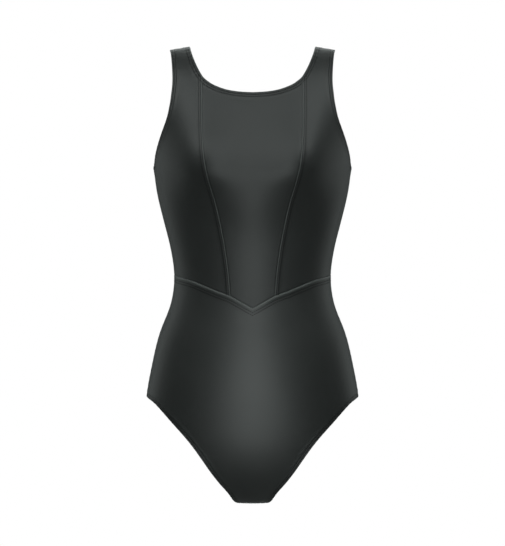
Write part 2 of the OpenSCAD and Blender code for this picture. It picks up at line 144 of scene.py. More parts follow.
def smooth_table(rows, step=1.0, blur=8.0):
    """Hermite spans through the rows, sampled each step and blurred so that curvature is even too."""
    rows = np.array(rows, float)
    h = rows[:, 0]
    stations = np.arange(h[0], h[-1] + step / 2, step)
    gaps = np.diff(h)
    k = np.clip(np.searchsorted(h, stations, side="right") - 1, 0, len(gaps) - 1)
    t = (stations - h[k]) / gaps[k]
    reach = int(3 * blur / step)
    weights = np.exp(-0.5 * (np.arange(-reach, reach + 1) * step / blur) ** 2)
    weights /= weights.sum()
    columns = []
    for v in rows[:, 1:].T:
        rise = np.diff(v) / gaps
        inner = (rise[:-1] * gaps[1:] + rise[1:] * gaps[:-1]) / (gaps[:-1] + gaps[1:])
        slope = np.r_[rise[0], inner, rise[-1]]
        y = (2 * t**3 - 3 * t**2 + 1) * v[k] + (t**3 - 2 * t**2 + t) * gaps[k] * slope[k]
        y += (3 * t**2 - 2 * t**3) * v[k + 1] + (t**3 - t**2) * gaps[k] * slope[k + 1]
        padded = np.pad(y, reach, mode="reflect", reflect_type="odd")
        columns.append(np.convolve(padded, weights, "valid"))
    return stations, columns


TABLES = {FRONT: smooth_table(FRONT_ROWS), BACK: smooth_table(BACK_ROWS)}


def half_width(side, h):
    stations, columns = TABLES[side]
    return np.interp(h, stations, columns[2])


def skin_of(side, a, h):
    stations, columns = TABLES[side]
    y, z, width, depth, turn = [np.interp(h, stations, c) for c in columns]
    a = np.radians(a)
    turn = np.radians(turn)
    x = width * np.sin(a)
    rise, across, station, reach, up, down = CUP if side == FRONT else SEAT
    bump = rise * (bell(x - across, reach) + bell(x + across, reach))
    bump = bump * bell(h - station, np.where(h > station, up, down))
    for rise, reach, station, tall in BRIDGES if side == FRONT else []:
        bump = bump + rise * bell(x, reach) * bell(h - station, tall)
    drop = depth * (1 - np.cos(a)) - bump * np.cos(a)
    return np.stack([x, y + side * drop * np.cos(turn), z + drop * np.sin(turn)], -1)


def skin(side, a, h):
    """Points of the outer fabric's surface, in millimetres. side may be one value or an array."""
    side, a, h = np.broadcast_arrays(side, a, h)
    if (side == side.flat[0]).all():
        return skin_of(int(side.flat[0]), a, h)
    return np.where((side == FRONT)[..., None], skin_of(FRONT, a, h), skin_of(BACK, a, h))


def unit(v):
    return v / np.maximum(np.linalg.norm(v, axis=-1, keepdims=True), 1e-12)


def running_length(points):
    return np.r_[0, np.cumsum(np.linalg.norm(np.diff(points, axis=0), axis=1))]


def steps_round_and_up(side, a, h, step=0.5):
    across = (skin(side, a + step, h) - skin(side, a - step, h)) / (2 * step)
    upward = (skin(side, a, h + step) - skin(side, a, h - step)) / (2 * step)
    return across, upward


def normal(side, a, h):
    across, upward = steps_round_and_up(side, a, h)
    return unit(np.cross(across, upward)) * np.asarray(side)[..., None]


def moved(side, a, h, v):
    """The places reached by small steps v along the surface."""
    across, upward = steps_round_and_up(side, a, h)
    rr = (across * across).sum(-1)
    ru = (across * upward).sum(-1)
    uu = (upward * upward).sum(-1)
    det = rr * uu - ru * ru
    rv = (across * v).sum(-1)
    uv = (upward * v).sum(-1)
    return a + (uu * rv - ru * uv) / det, h + (rr * uv - ru * rv) / det


# ---------- lines drawn on the form
KNOT_STEPS = 24


class Line:
    """A line on one side of the form, drawn through close places and read by its running length."""

    def __init__(self, side, places):
        self.side = side
        self.places = places
        self.lengths = running_length(skin(side, *places.T))
        self.length = self.lengths[-1]
        self.start = tuple(places[0])
        self.end = tuple(places[-1])

    def at(self, length):
        a = np.interp(length, self.lengths, self.places[:, 0])
        h = np.interp(length, self.lengths, self.places[:, 1])
        return np.stack([a, h], -1)

    def knot(self, i):
        """Running length at the given point i of a line made by through()."""
        return self.lengths[i * KNOT_STEPS]


def through(side, given):
    """A smooth line through points given as distance from the middle and station."""
    x, h = np.array(given, float).T
    p = np.stack([np.degrees(np.arcsin(np.clip(x / half_width(side, h), 0, 1))), h], 1)
    p = np.vstack([p[:1], p, p[-1:]])
    t = np.arange(KNOT_STEPS)[:, None] / KNOT_STEPS
    spans = []
    for a, b, c, d in zip(p[:-3], p[1:-2], p[2:-1], p[3:]):
        bend = (2 * a - 5 * b + 4 * c - d) * t**2 + (3 * b - a - 3 * c + d) * t**3
        spans.append((2 * b + (c - a) * t + bend) / 2)
    return Line(side, np.vstack([*spans, p[-1:]]))


def straight(side, start, end):
    """A line that is straight in angle and station, between two places."""
    t = np.linspace(0, 1, 200)[:, None]
    return Line(side, np.array(start) * (1 - t) + np.array(end) * t)


NECKLINE = through(FRONT, [
    (0, 594.5), (19, 595.6), (36.2, 598.7), (51.6, 604.8), (61.4, 611.5), (70, 621.3),
    (78.1, 640), (84.2, 660.5), (88.6, 681), (91, SHOULDER),
])
WAISTLINE = through(FRONT, [
    (0, 299.4), (14.2, 306.8), (30.6, 315.2), (46.2, 320.2), (64.9, 326.3), (86.4, 332.3),
    (105.5, 333.5), (200, 333),
])
PRINCESS = through(FRONT, [
    (30.6, 315.2), (35.8, 368.5), (42.5, 407.3), (50.3, 443.8), (58.6, 473.9), (64.1, 500.5),
    (67, 530.3), (68.7, 564.3), (70, 621.3),
])
FRONT_ARMHOLE = through(FRONT, [
    (200, 487), (140.8, 491.4), (138, 505.3), (131.1, 527.8), (120.9, 555.6), (116.1, 577.6),
    (114.1, 596.7), (113.1, 615.6), (114, 640.2), (116.3, 668.3), (120, SHOULDER),
])
BACK_ARMHOLE = through(BACK, [
    (200, 487), (140.9, 490.3), (136.2, 501.4), (127.5, 514.2), (121.3, 532.6), (119.3, 558.6),
    (118.9, 588.3), (119, 615.7), (119.2, 640.3), (119.3, 668.3), (120, SHOULDER),
])
BACK_OPENING = through(BACK, [
    (0, BACK_POINT), (13.1, 370), (30.4, 393.4), (47.8, 421.1), (62.9, 447.8), (74.8, 480),
    (82.5, 514), (87, 551), (89.6, 587.9), (90.6, 615.6), (91, 640.1), (91.1, 667.9), (91, SHOULDER),
])
FRONT_LEG = through(FRONT, [
    (22, -44), (24, -18), (32, 18.8), (46.6, 45.7), (69.2, 83.6), (92.2, 115.9), (118.3, 140.9),
    (137, 155.3), (148.5, 158.5), (200, 157),
])
BACK_LEG = through(BACK, [
    (22, -49), (25.5, -36), (34, -14), (48, 12), (65.9, 28.5), (80, 45.2), (95.7, 61.6),
    (108.8, 79.2), (119.7, 98.5), (132.1, 119.3), (142.1, 137.2), (149.3, 148.2), (200, 157),
])
NECK_OF_PRINCESS = NECKLINE.knot(5)
WAIST_OF_PRINCESS = WAISTLINE.knot(2)

FRONT_CROTCH = (0.0, -44.0)
BACK_CROTCH = (0.0, -49.0)
SIDE_LOW = (90, 157.0)
SIDE_WAIST = (90, 333.0)
SIDE_HIGH = (90, 487.0)
HIGH_SIDE_SEAM = straight(FRONT, SIDE_WAIST, SIDE_HIGH)
LOW_SIDE_SEAM = straight(FRONT, SIDE_LOW, SIDE_WAIST)
SIDE_SEAM = straight(BACK, SIDE_LOW, SIDE_HIGH)
SHOULDER_SEAM = straight(FRONT, NECKLINE.end, FRONT_ARMHOLE.end)
BACK_SHOULDER_SEAM = straight(BACK, BACK_OPENING.end, BACK_ARMHOLE.end)
CROTCH_SEAM = straight(FRONT, FRONT_CROTCH, FRONT_LEG.start)
BACK_CROTCH_SEAM = straight(BACK, BACK_CROTCH, BACK_LEG.start)


class Edge:
    """One side of a panel, made of lines joined end to end. Each piece is a line, the share of the
    side where it ends, whether it is a turned hem, and the stretch of the line if not all of it."""

    def __init__(self, *pieces):
        self.side = pieces[0][0].side
        self.ends = [end for _, end, *_ in pieces]
        self.is_hem = np.array([is_hem for _, _, is_hem, *_ in pieces])
        self.stretches = [(line, *(part or (0, line.length))) for line, _, _, *part in pieces]

    def at(self, t):
        t = np.asarray(t, float)
        out = np.zeros(t.shape + (2,))
        starts = [0.0, *self.ends]
        for i, (line, low, high) in enumerate(self.stretches):
            share = (t - starts[i]) / (self.ends[i] - starts[i])
            is_here = (t >= starts[i])[..., None]
            out = np.where(is_here, line.at(low + (high - low) * share), out)
        return out

    def is_hem_at(self, t):
        return self.is_hem[np.searchsorted(self.ends, t)]

    def length(self, low, high):
        places = self.at(np.linspace(low, high, 60))
        return running_length(skin(self.side, *places.T))[-1]


def whole(line, is_hem=False):
    return Edge((line, 1.0, is_hem))


# ---------- relief of seams and hems
class Ruler:
    """Measures how far points lie from a line, and where along it."""

    def __init__(self, line, step=0.5):
        count = int(line.length / step)
        self.run = np.linspace(0, line.length, count)
        self.tree = KDTree(count)
        for i, p in enumerate(skin(line.side, *line.at(self.run).T)):
            self.tree.insert(p, i)
        self.tree.balance()

    def measure(self, points):
        flat = points.reshape(-1, 3)
        out = np.empty((len(flat), 2))
        for i, p in enumerate(flat):
            _, k, d = self.tree.find(p)
            out[i] = d, self.run[k]
        return out[:, 0].reshape(points.shape[:-1]), out[:, 1].reshape(points.shape[:-1])


@functools.cache
def ruler(line):
    return Ruler(line)


def puckers(s, d, pitch, height, reach, phase=0.0):
    """Small waves along a sewn line, uneven as real gathers are."""
    drift = 1.1 * np.sin(s / 37.0 + phase) + 0.7 * np.sin(s / 13.0 + 2.3 * phase)
    swell = 0.65 + 0.35 * np.sin(s / 53.0 + 1.7 * phase)
    return height * swell * np.sin(2 * np.pi * s / pitch + drift + phase) * fade(d, reach * 0.45, reach)


def two_rows(d, first, width):
    """1 on both rows of topstitching, falling to 0 beside them."""
    return bell(d - first, width) + bell(d - first - ROW_GAP, width)


HEM_PLIES = 0.28  # how far a hem's doubled cloth stands up, and where that ends
HEM_PLIES_FADE = (8.3, 11.5)
PUFF = 0.16  # rise of the cloth between the edge and the first row, and between the rows
PUFF_BETWEEN = 0.12
PUFF_WIDTH = 0.9
ROW_DITCHES = (0.36, 0.34)  # depths of a hem's two rows of stitches, and their half width
ROW_WIDTH = 0.5
SHADE = 0.22  # strength and half width of the shade in a row of stitches
SHADE_WIDTH = 0.75
# Pitch, height and reach of the puckers beside each kind of sewn line.
HEM_PUCKERS = (8.1, 0.13, 15)
PRINCESS_PUCKERS = (10.5, 0.05, 12)
WAIST_PUCKERS = (9.0, 0.08, 15)
SEAM_PUCKERS = (9.4, 0.09, 9)
PRINCESS_FOLD = 0.6  # thickness of the folded edge of the side panel, and where it flattens out
PRINCESS_FADE = (1.2, 9.0)
WAIST_FOLD = 0.9  # the same for the brief's top edge, which also swells over its fold
WAIST_FADE = (2.2, 13.0)
PRESSED = (22, 3)  # distances from the side seam between which the waist's fold is pressed flat


def hem_relief(d, s, first, phase):
    """What the elastic and the two rows of stitches do to the fabric near a turned edge."""
    relief = HEM_PLIES * fade(d, *HEM_PLIES_FADE)
    relief += PUFF * bell(d - 0.55 * first, PUFF_WIDTH)
    relief += PUFF_BETWEEN * bell(d - first - ROW_GAP / 2, PUFF_WIDTH)
    for row, depth in zip((first, first + ROW_GAP), ROW_DITCHES):
        relief -= depth * bell(d - row, ROW_WIDTH)
    return relief + puckers(s, d, *HEM_PUCKERS, phase)


def princess_ridge(d, s):
    """The side panel laps over the centre panel, with two rows of stitches beside the fold."""
    round_edge = PRINCESS_FOLD - np.minimum(d, PRINCESS_FOLD)
    ridge = np.sqrt(np.maximum(0, PRINCESS_FOLD**2 - round_edge**2)) * fade(d, *PRINCESS_FADE)
    ridge = ridge - 0.2 * two_rows(d, PRINCESS_ROW, ROW_WIDTH)
    return ridge + puckers(s, d, *PRINCESS_PUCKERS, 0.9)


def waist_ridge(d, s):
    """The brief's folded top edge lies over the bodice. It is pressed flat at the side seam."""
    ridge = WAIST_FOLD * fade(d, *WAIST_FADE) + 0.3 * bell(d - 1.8, 1.5)
    ridge = ridge - 0.24 * two_rows(d, WAIST_ROW, 0.55)
    pressed = fade(s, *(WAISTLINE.length - distance for distance in PRESSED))
    return (ridge + puckers(s, d, *WAIST_PUCKERS, 1.9)) * pressed


def edge_shine(d, height, middle, width, first):
    """Painted highlight on a folded edge, and painted shade in the rows of stitches beside it, both for
    the cloth's colour.
    """
    return height * bell(d - middle, width) - SHADE * two_rows(d, first, SHADE_WIDTH)


# A feature of a panel: its line, and its relief and shine by the distance from that line.
def hem_of(line, first, phase):
    return (
        line,
        lambda d, s: hem_relief(d, s, first, phase),
        lambda d: edge_shine(d, 1.0, middle=0.0, width=1.3, first=first),
    )


def ditch_of(line, phase):
    return line, lambda d, s: puckers(s, d, *SEAM_PUCKERS, phase) - 0.45 * bell(d, 0.7), None


PRINCESS_LAP = (PRINCESS, princess_ridge, lambda d: edge_shine(d, 0.9, 0.5, 0.9, PRINCESS_ROW))
PRINCESS_UNDER = (PRINCESS, lambda d, s: -0.22 * bell(d, 0.9), None)
WAIST_LAP = (WAISTLINE, waist_ridge, lambda d: edge_shine(d, 1.1, 0.8, 1.7, WAIST_ROW))
WAIST_UNDER = (WAISTLINE, lambda d, s: -0.3 * bell(d, 1.2), None)


def drape(points):
    """Broad, faint unevenness of worn cloth, the same for every panel so that seams still meet."""
    x, y, z = points[..., 0], points[..., 1], points[..., 2]
    waves = 0.24 * np.sin(x / 31 + 1.3) * np.sin(z / 47 + 0.4)
    return waves + 0.20 * np.sin((0.8 * x + 0.6 * z) / 23 + 2.1) * np.sin(z / 61 + y / 40)


def relief_of(points, features, extra=None):
    """How far the cloth stands off the form, and how much it catches light on a folded edge."""
    relief = drape(points)
    rim = np.zeros(relief.shape)
    for line, height, shine in features:
        d, s = ruler(line).measure(points)
        relief += height(d, s)
        if shine is not None:
            rim += shine(d)
    if extra is not None:
        relief += extra(points)
    return relief, rim


# ---------- relief of the back
# Each fold of the pinch: height where it starts, height where it ends, its reach and its depth.
PINCH_FOLDS = [(347.5, 363.0, 46, 2.9), (341.5, 342.0, 54, 3.4), (335.0, 315.0, 47, 3.1)]
FOLD_WIDTH = 2.1  # half width of a fold where it starts, and what it gains up to its end
FOLD_SPREAD = 2.4
SWELLS = [(1.75, 0.62), (-1.75, 0.30)]  # beside a fold: place and height, as shares of its size
SWELL_WIDTH = 0.95
DIMPLE = (1.6, 3.2, 341.0, 11.0)  # depth, half width, middle and half height of the dip between folds
FOLD_LIMIT = (9.0, 0.5)  # deepest that a fold may be clear of the hem, and in it
HEM_ZONE = (7.5, 14.0)  # distances from the edge between which the limit changes
CLEFT = (1.5, 24, 110, 62, 60)  # depth, half width, middle, and reach up and down of the seat's dip


def pinch_relief(points):
    """Folds that run out sideways from the gathered point under the back's opening."""
    x = np.abs(points[..., 0])
    z = points[..., 2]
    relief = np.zeros(x.shape)
    for start, end, reach, depth in PINCH_FOLDS:
        t = np.clip(x / reach, 0, 1)
        across = (z - mix(start, end, t**1.25)) * (1 - 0.25 * t)
        width = FOLD_WIDTH + FOLD_SPREAD * t
        strength = depth * (1 - t) ** 0.9 * np.clip(x / 3.0, 0.55, 1)
        relief -= strength * bell(across, width)
        for place, height in SWELLS:
            relief += height * strength * bell(across - place * width, width * SWELL_WIDTH)
    depth, half_wide, middle, half_high = DIMPLE
    relief -= depth * bell(x, half_wide) * bell(z - middle, half_high)
    near = (x < 40) & (z < BACK_POINT + 40) & (points[..., 1] > 0)
    from_edge, _ = ruler(BACK_OPENING).measure(points[near])
    limit = mix(*FOLD_LIMIT, fade(from_edge, *HEM_ZONE))
    relief[near] = np.maximum(relief[near], -limit)
    return relief


def back_relief(points):
    """The pinch, and the dip in the cloth between the two halves of the seat."""
    x, y, z = points[..., 0], points[..., 1], points[..., 2]
    depth, half_wide, middle, up, down = CLEFT
    cleft = depth * bell(x, half_wide) * bell(z - middle, np.where(z > middle, up, down))
    cleft *= np.clip(y / 40, 0, 1)
    return pinch_relief(points) - cleft


# ---------- panels
# Distances of a panel's grid lines from its edges. They crowd where the relief is fine.
ROLL_STEPS = [ROLL * (1 - math.cos(math.radians(t))) for t in (0, 22, 45, 67, 90)]
HEM_STEPS = [*ROLL_STEPS, 1.8, 2.4, 2.9, 3.3, 3.8, 4.5, 5.3, 6.0, 6.4, 6.9, 7.6, 8.6, 10.0, 12.0]
SEAM_STEPS = [0, 0.25, 0.55, 0.95, 1.5, 2.0, 2.6, 3.6, 4.8, 5.3, 5.8, 7.0, 8.6, 10.3, 12.3]
WAIST_STEPS = [*ROLL_STEPS, 1.9, 2.8, 3.8, 4.9, 5.4, 5.8, 6.4, 7.3, 8.3, 8.8, 9.3, 10.2, 11.3, 12.5]
FOLDED_STEPS = [*ROLL_STEPS[1:], 2.6, 4.5, 6.5, 8.5, HEM]
LINING_STEPS = [0, 0.7, 2.0, 4.0, 7.0, 10.0]
SKEW_LIMIT = 0.45  # smallest share of its own length that a slanting step may gain straight in
NO_STEPS = 1e9  # pace at a break inside a panel, where no grid line is held at a distance


def slots_along(near_low, near_high, middle, folded_low=False, folded_high=False):
    """How a row's points are placed: (which end, distance from it or share between, folded back)."""
    out = []
    if folded_low:
        out += [(-1, d, True) for d in reversed(FOLDED_STEPS)]
    out += [(-1, d, False) for d in near_low]
    out += [(0, (i + 1) / (middle + 1), False) for i in range(middle)]
    out += [(1, d, False) for d in reversed(near_high)]
    if folded_high:
        out += [(1, d, True) for d in FOLDED_STEPS]
    return np.array(out, float)


def spread(ends, amounts, low_pace, high_pace, low=0.0, high=1.0):
    """Parameters of slots between low and high, one line of them per pace."""
    near = amounts / low_pace[:, None] + low
    far = high - amounts / high_pace[:, None]
    first = near[:, ends == -1].max(1, keepdims=True)
    last = far[:, ends == 1].min(1, keepdims=True)
    between = first + (last - first) * amounts
    return np.where(ends == -1, near, np.where(ends == 1, far, between))


@dataclasses.dataclass
class Panel:
    """A piece of fabric between four edges. u runs from its left edge to its right, v upwards."""

    side: int
    bottom: Edge
    top: Edge
    left: Edge
    right: Edge

    def place(self, u, v):
        """The Coons patch over the four edges."""
        u, v = np.broadcast_arrays(u, v)
        p = u[..., None]
        q = v[..., None]
        corners = [e.at(np.array([0.0, 1.0])) for e in (self.bottom, self.top)]
        flat = mix(mix(corners[0][0], corners[0][1], p), mix(corners[1][0], corners[1][1], p), q)
        return mix(self.bottom.at(u), self.top.at(u), q) + mix(self.left.at(v), self.right.at(v), p) - flat

    def point(self, u, v):
        place = self.place(u, v)
        return skin(self.side, place[..., 0], place[..., 1])

    def pace(self, u, v, along_u):
        """Millimetres gained straight in from an edge per unit of u, or of v."""
        u, v = np.broadcast_arrays(u, v)
        step = 0.004
        low_u = np.clip(u - step / 2, 0, 1 - step)
        low_v = np.clip(v - step / 2, 0, 1 - step)
        du = (self.point(low_u + step, v) - self.point(low_u, v)) / step
        dv = (self.point(u, low_v + step) - self.point(u, low_v)) / step
        area = np.linalg.norm(np.cross(du, dv), axis=-1)
        other = np.linalg.norm(dv if along_u else du, axis=-1)
        own = np.linalg.norm(du if along_u else dv, axis=-1)
        return np.maximum(area / np.maximum(other, 1e-9), SKEW_LIMIT * own)

    def width(self):
        across = np.linspace(0, 1, 40)
        return max(running_length(self.point(across, v))[-1] for v in (0.15, 0.35, 0.55))


def inner_bend(d):
    """Where the fabric's inner face lies when its outer face rolls over an edge at distance d."""
    return np.where(d < ROLL, ROLL - (ROLL - d) * (ROLL - FABRIC) / ROLL, d)


def roll_lift(d, radius, folded):
    rise = np.sqrt(np.maximum(0, radius**2 - (ROLL - np.minimum(d, ROLL)) ** 2))
    return -ROLL + np.where(folded, -rise, rise)


def even_out(pace, reach=3):
    window = np.ones(2 * reach + 1) / (2 * reach + 1)
    return np.convolve(np.pad(pace, reach, mode="edge"), window, "valid")


def weave_rows(panel, sketch, bottom_steps, top_steps, pitch, top_folded):
    """v of every row at every column of the sketch, and the rows' slots. Rows keep to the breaks
    between the pieces of the side edges."""
    breaks = sorted({0.0, *panel.left.ends, *panel.right.ends})
    top = len(breaks) - 2
    v = []
    rows = []
    for i, (low, high) in enumerate(zip(breaks[:-1], breaks[1:])):
        length = max(panel.left.length(low, high), panel.right.length(low, high))
        slots = slots_along(
            bottom_steps if i == 0 else [0],
            top_steps if i == top else [0],
            max(2, int(length / pitch)),
            folded_high=top_folded and i == top,
        )
        low_pace = panel.pace(sketch, 0.0, False) if i == 0 else np.full(len(sketch), NO_STEPS)
        high_pace = panel.pace(sketch, 1.0, False) if i == top else np.full(len(sketch), NO_STEPS)
        kept = slots if i == top else slots[:-1]
        v.append(spread(slots[:, 0], slots[:, 1], low_pace, high_pace, low, high).T[: len(kept)])
        kept[:, 0] *= np.where(kept[:, 0] < 0, i == 0, i == top)
        rows.append(kept)
    return np.vstack(v), np.vstack(rows)


def panel_grid(panel, steps, pitch, top_folded=False, middle_end=None):
    """Both faces' parameters and lifts, which cells of the grid are cloth, and the grid points on
    the garment's middle, where the left edge follows it up to the share middle_end."""
    bottom_steps, top_steps, left_steps, right_steps = steps
    width = panel.width()
    has_hems = panel.left.is_hem.any(), panel.right.is_hem.any()
    columns = slots_along(left_steps, right_steps, int(width / (pitch * 1.3)), *has_hems)
    ends, distances, is_fold = columns[:, 0], columns[:, 1], columns[:, 2] > 0
    sketch = np.clip(spread(ends, distances, np.array([width]), np.array([width]))[0], 0, 1)
    v, rows = weave_rows(panel, sketch, bottom_steps, top_steps, pitch, top_folded)
    row_ends, row_steps, row_is_fold = rows[:, :1], rows[:, 1:2], rows[:, 2:] > 0
    middle_v = np.median(v, axis=1)
    paces = [even_out(panel.pace(u, middle_v, True)) for u in (0.0, 1.0)]
    top_pace = panel.pace(sketch, 1.0, False)

    between = (middle_v[:-1] + middle_v[1:]) / 2
    hem_cells = [edge.is_hem_at(between) for edge in (panel.left, panel.right)]
    in_hem = np.zeros(v.shape, bool)
    for end, is_hem in zip((-1, 1), hem_cells):
        in_hem |= (ends == end) & (np.r_[is_hem, False] | np.r_[False, is_hem])[:, None]
    faces = []
    for radius, flat_lift in ((ROLL, 0.0), (ROLL - FABRIC, -FABRIC)):
        is_inner = flat_lift < 0
        d = np.where(in_hem & is_inner, inner_bend(distances), distances)
        u = spread(ends, d, *paces)
        lift = np.where(in_hem, roll_lift(d, radius, is_fold), flat_lift)
        face_v = v
        if top_folded:
            d = inner_bend(row_steps) if is_inner else row_steps
            face_v = np.where(row_ends == 1, 1 - d / top_pace, v)
            lift = np.where(row_ends == 1, roll_lift(d, radius, row_is_fold), lift)
        faces.append((np.clip(u, 0, 1), np.clip(face_v, 0, 1), lift))

    cells = np.ones((len(v) - 1, len(columns) - 1), bool)
    fold_cells = is_fold[1:] | is_fold[:-1]
    is_left = np.arange(len(columns) - 1) < len(columns) // 2
    cells[:, fold_cells & is_left] &= hem_cells[0][:, None]
    cells[:, fold_cells & ~is_left] &= hem_cells[1][:, None]
    row_folds = row_is_fold[:, 0]
    cells[np.ix_(row_folds[1:] | row_folds[:-1], fold_cells)] = False
    if middle_end is None:
        return faces, cells, None
    on_middle = np.nonzero(middle_v <= middle_end + 1e-6)[0]
    edge_column = int(np.argmax((ends == -1) & (distances == 0) & ~is_fold))
    return faces, cells, (on_middle, np.full(len(on_middle), edge_column))


def grid_quads(rows, columns):
    index = np.arange(rows * columns).reshape(rows, columns)
    return index, np.stack([index[:-1, :-1], index[:-1, 1:], index[1:, 1:], index[1:, :-1]], -1)


MIRROR = np.array([-1, 1, 1])


class Shell:
    """A closed piece of cloth made of two faces on one grid, joined round every free rim. Where it
    is welded on the garment's middle, its other half is added."""

    def __init__(self, side, faces, cells, places, welded=None):
        index, quads = grid_quads(cells.shape[0] + 1, cells.shape[1] + 1)
        count = index.size
        corners = quads[cells]
        if side == BACK:
            corners = corners[:, ::-1]
        middle = np.array([], int) if welded is None else index[welded]
        edges = np.stack([corners, np.roll(corners, -1, axis=1)], -1).reshape(-1, 2)
        is_shared = np.isin(edges @ [count, 1], edges @ [1, count])
        rim = edges[~is_shared & ~np.isin(edges, middle).all(1)]
        walls = np.stack([rim[:, 1], rim[:, 0], rim[:, 0] + count, rim[:, 1] + count], -1)
        quads = np.vstack([corners, corners[:, ::-1] + count, walls])
        points = np.vstack([f.reshape(-1, 3) for f in faces])
        places = np.vstack([p.reshape(-1, 3) for p in places])
        if welded is not None:
            middle = np.r_[middle, middle + count]
            points[middle, 0] = 0
            twin = np.arange(len(points)) + len(points)
            twin[middle] = middle
            quads = np.vstack([quads, twin[quads[:, ::-1]]])
            points = np.vstack([points, points * MIRROR])
            places = np.vstack([places, places * MIRROR])
        used, numbers = np.unique(quads, return_inverse=True)
        self.points = points[used]
        self.places = places[used]
        self.quads = numbers.reshape(quads.shape)

    def mirrored(self):
        twin = copy.copy(self)
        twin.points = self.points * MIRROR
        twin.places = self.places * MIRROR
        twin.quads = self.quads[:, ::-1]
        return twin


CLOTH_ROUND = 140.0  # millimetres of cloth per radian round the torso, for the weave's coordinates


def cloth_places(a, h, rim):
    """Where the points lie in the weave, and how much they catch the light."""
    return np.stack([np.radians(a) * CLOTH_ROUND, h, rim], -1)


def sew_panel(panel, features, steps, pitch=3.0, top_folded=False, middle_end=None, extra=None):
    """The shell of one panel. steps are the distances of its grid lines from its bottom, top, left
    and right edges. Up to middle_end, its left edge is the garment's middle, and it is mirrored."""
    faces, cells, welded = panel_grid(panel, steps, pitch, top_folded, middle_end)
    solid = []
    places = []
    for u, v, lift in faces:
        a, h = np.moveaxis(panel.place(u, v), -1, 0)
        base = skin(panel.side, a, h)
        relief, rim = relief_of(base, features, extra)
        solid.append(base + normal(panel.side, a, h) * (lift + relief)[..., None])
        places.append(cloth_places(a, h, rim))
    return Shell(panel.side, solid, cells, places, welded)


# ---------- the outer panels
NECK_HEM = hem_of(NECKLINE, NECK_ROW, 0.0)


def center_panel():
    panel = Panel(
        FRONT,
        Edge((WAISTLINE, 1.0, False, 0, WAIST_OF_PRINCESS)),
        Edge((NECKLINE, 1.0, True, 0, NECK_OF_PRINCESS)),
        whole(straight(FRONT, WAISTLINE.start, NECKLINE.start)),
        whole(PRINCESS),
    )
    features = [NECK_HEM, PRINCESS_UNDER, WAIST_UNDER]
    steps = (SEAM_STEPS, HEM_STEPS, [0], SEAM_STEPS)
    return sew_panel(panel, features, steps, top_folded=True, middle_end=1)


def side_panel():
    panel = Panel(
        FRONT,
        Edge((WAISTLINE, 1.0, False, WAIST_OF_PRINCESS, WAISTLINE.length)),
        whole(SHOULDER_SEAM),
        Edge((PRINCESS, 0.75, False), (NECKLINE, 1.0, True, NECK_OF_PRINCESS, NECKLINE.length)),
        Edge((HIGH_SIDE_SEAM, 0.375, False), (FRONT_ARMHOLE, 1.0, True)),
    )
    features = [
        NECK_HEM,
        hem_of(FRONT_ARMHOLE, ARMHOLE_ROW, 1.1),
        PRINCESS_LAP,
        WAIST_UNDER,
        ditch_of(HIGH_SIDE_SEAM, 0.4),
        ditch_of(SHOULDER_SEAM, 0.8),
    ]
    return sew_panel(panel, features, (SEAM_STEPS, SEAM_STEPS, HEM_STEPS, HEM_STEPS))


def brief_panel():
    panel = Panel(
        FRONT,
        whole(CROTCH_SEAM),
        whole(WAISTLINE, True),
        whole(straight(FRONT, FRONT_CROTCH, WAISTLINE.start)),
        Edge((FRONT_LEG, 0.609, True), (LOW_SIDE_SEAM, 1.0, False)),
    )
    features = [
        hem_of(FRONT_LEG, LEG_ROW, 2.2),
        WAIST_LAP,
        ditch_of(LOW_SIDE_SEAM, 0.4),
        ditch_of(CROTCH_SEAM, 1.4),
    ]
    steps = (SEAM_STEPS, WAIST_STEPS, [0], HEM_STEPS)
    return sew_panel(panel, features, steps, top_folded=True, middle_end=1)


def back_panel():
    middle_end = 0.6
    middle = straight(BACK, BACK_CROTCH, BACK_OPENING.start)
    panel = Panel(
        BACK,
        whole(BACK_CROTCH_SEAM),
        whole(BACK_SHOULDER_SEAM),
        Edge((middle, middle_end, False), (BACK_OPENING, 1.0, True)),
        Edge((BACK_LEG, 0.35, True), (SIDE_SEAM, 0.75, False), (BACK_ARMHOLE, 1.0, True)),
    )
    features = [
        hem_of(BACK_OPENING, NECK_ROW, 0.6),
        hem_of(BACK_ARMHOLE, ARMHOLE_ROW, 1.7),
        hem_of(BACK_LEG, LEG_ROW, 2.9),
        ditch_of(SIDE_SEAM, 0.4),
        ditch_of(BACK_SHOULDER_SEAM, 0.8),
        ditch_of(BACK_CROTCH_SEAM, 1.4),
    ]
    steps = (SEAM_STEPS, SEAM_STEPS, HEM_STEPS, HEM_STEPS)
    return sew_panel(panel, features, steps, pitch=2.4, middle_end=middle_end, extra=back_relief)


# ---------- materials
def set_values(node, **values):
    """Sets a node's own settings and its inputs. A socket is wired to the input instead."""
    for key, value in values.items():
        if hasattr(node, key):
            setattr(node, key, value)
        else:
            put(node.inputs[key.replace("_", " ")], value)


def put(socket, value):
    if isinstance(value, bpy.types.NodeSocket):
        socket.id_data.links.new(value, socket)
    else:
        socket.default_value = value


def add(tree, kind, *inputs, out=0, **values):
    """Adds a node with its first inputs, and settings or inputs by name. Returns one output."""
    node = tree.nodes.new("ShaderNode" + kind)
    for socket, value in zip(node.inputs, inputs):
        put(socket, value)
    set_values(node, **values)
    return node.outputs[out]


def add_ramp(tree, factor, *stops):
    color = add(tree, "ValToRGB", factor)
    for element, (position, tone) in zip(color.node.color_ramp.elements, stops):
        element.position = position
        element.color = (*tone, 1)
    return color


def new_material(name):
    material = bpy.data.materials.new(name)
    material.use_nodes = True
    tree = material.node_tree
    return material, tree, tree.nodes["Principled BSDF"]


PAINTED_EDGE_LIGHT = 2.6  # how strongly the painted highlight on folded edges and the painted shade in rows of stitches change the cloth's colour
POLISH = 0.03  # how much the roughness varies either way
WALES = 520.0  # scale of the knit's columns, and of its rows
COURSES = 380.0
FIBRES = 900.0
SHEEN_TINT = (0.86, 0.95, 0.93, 1)


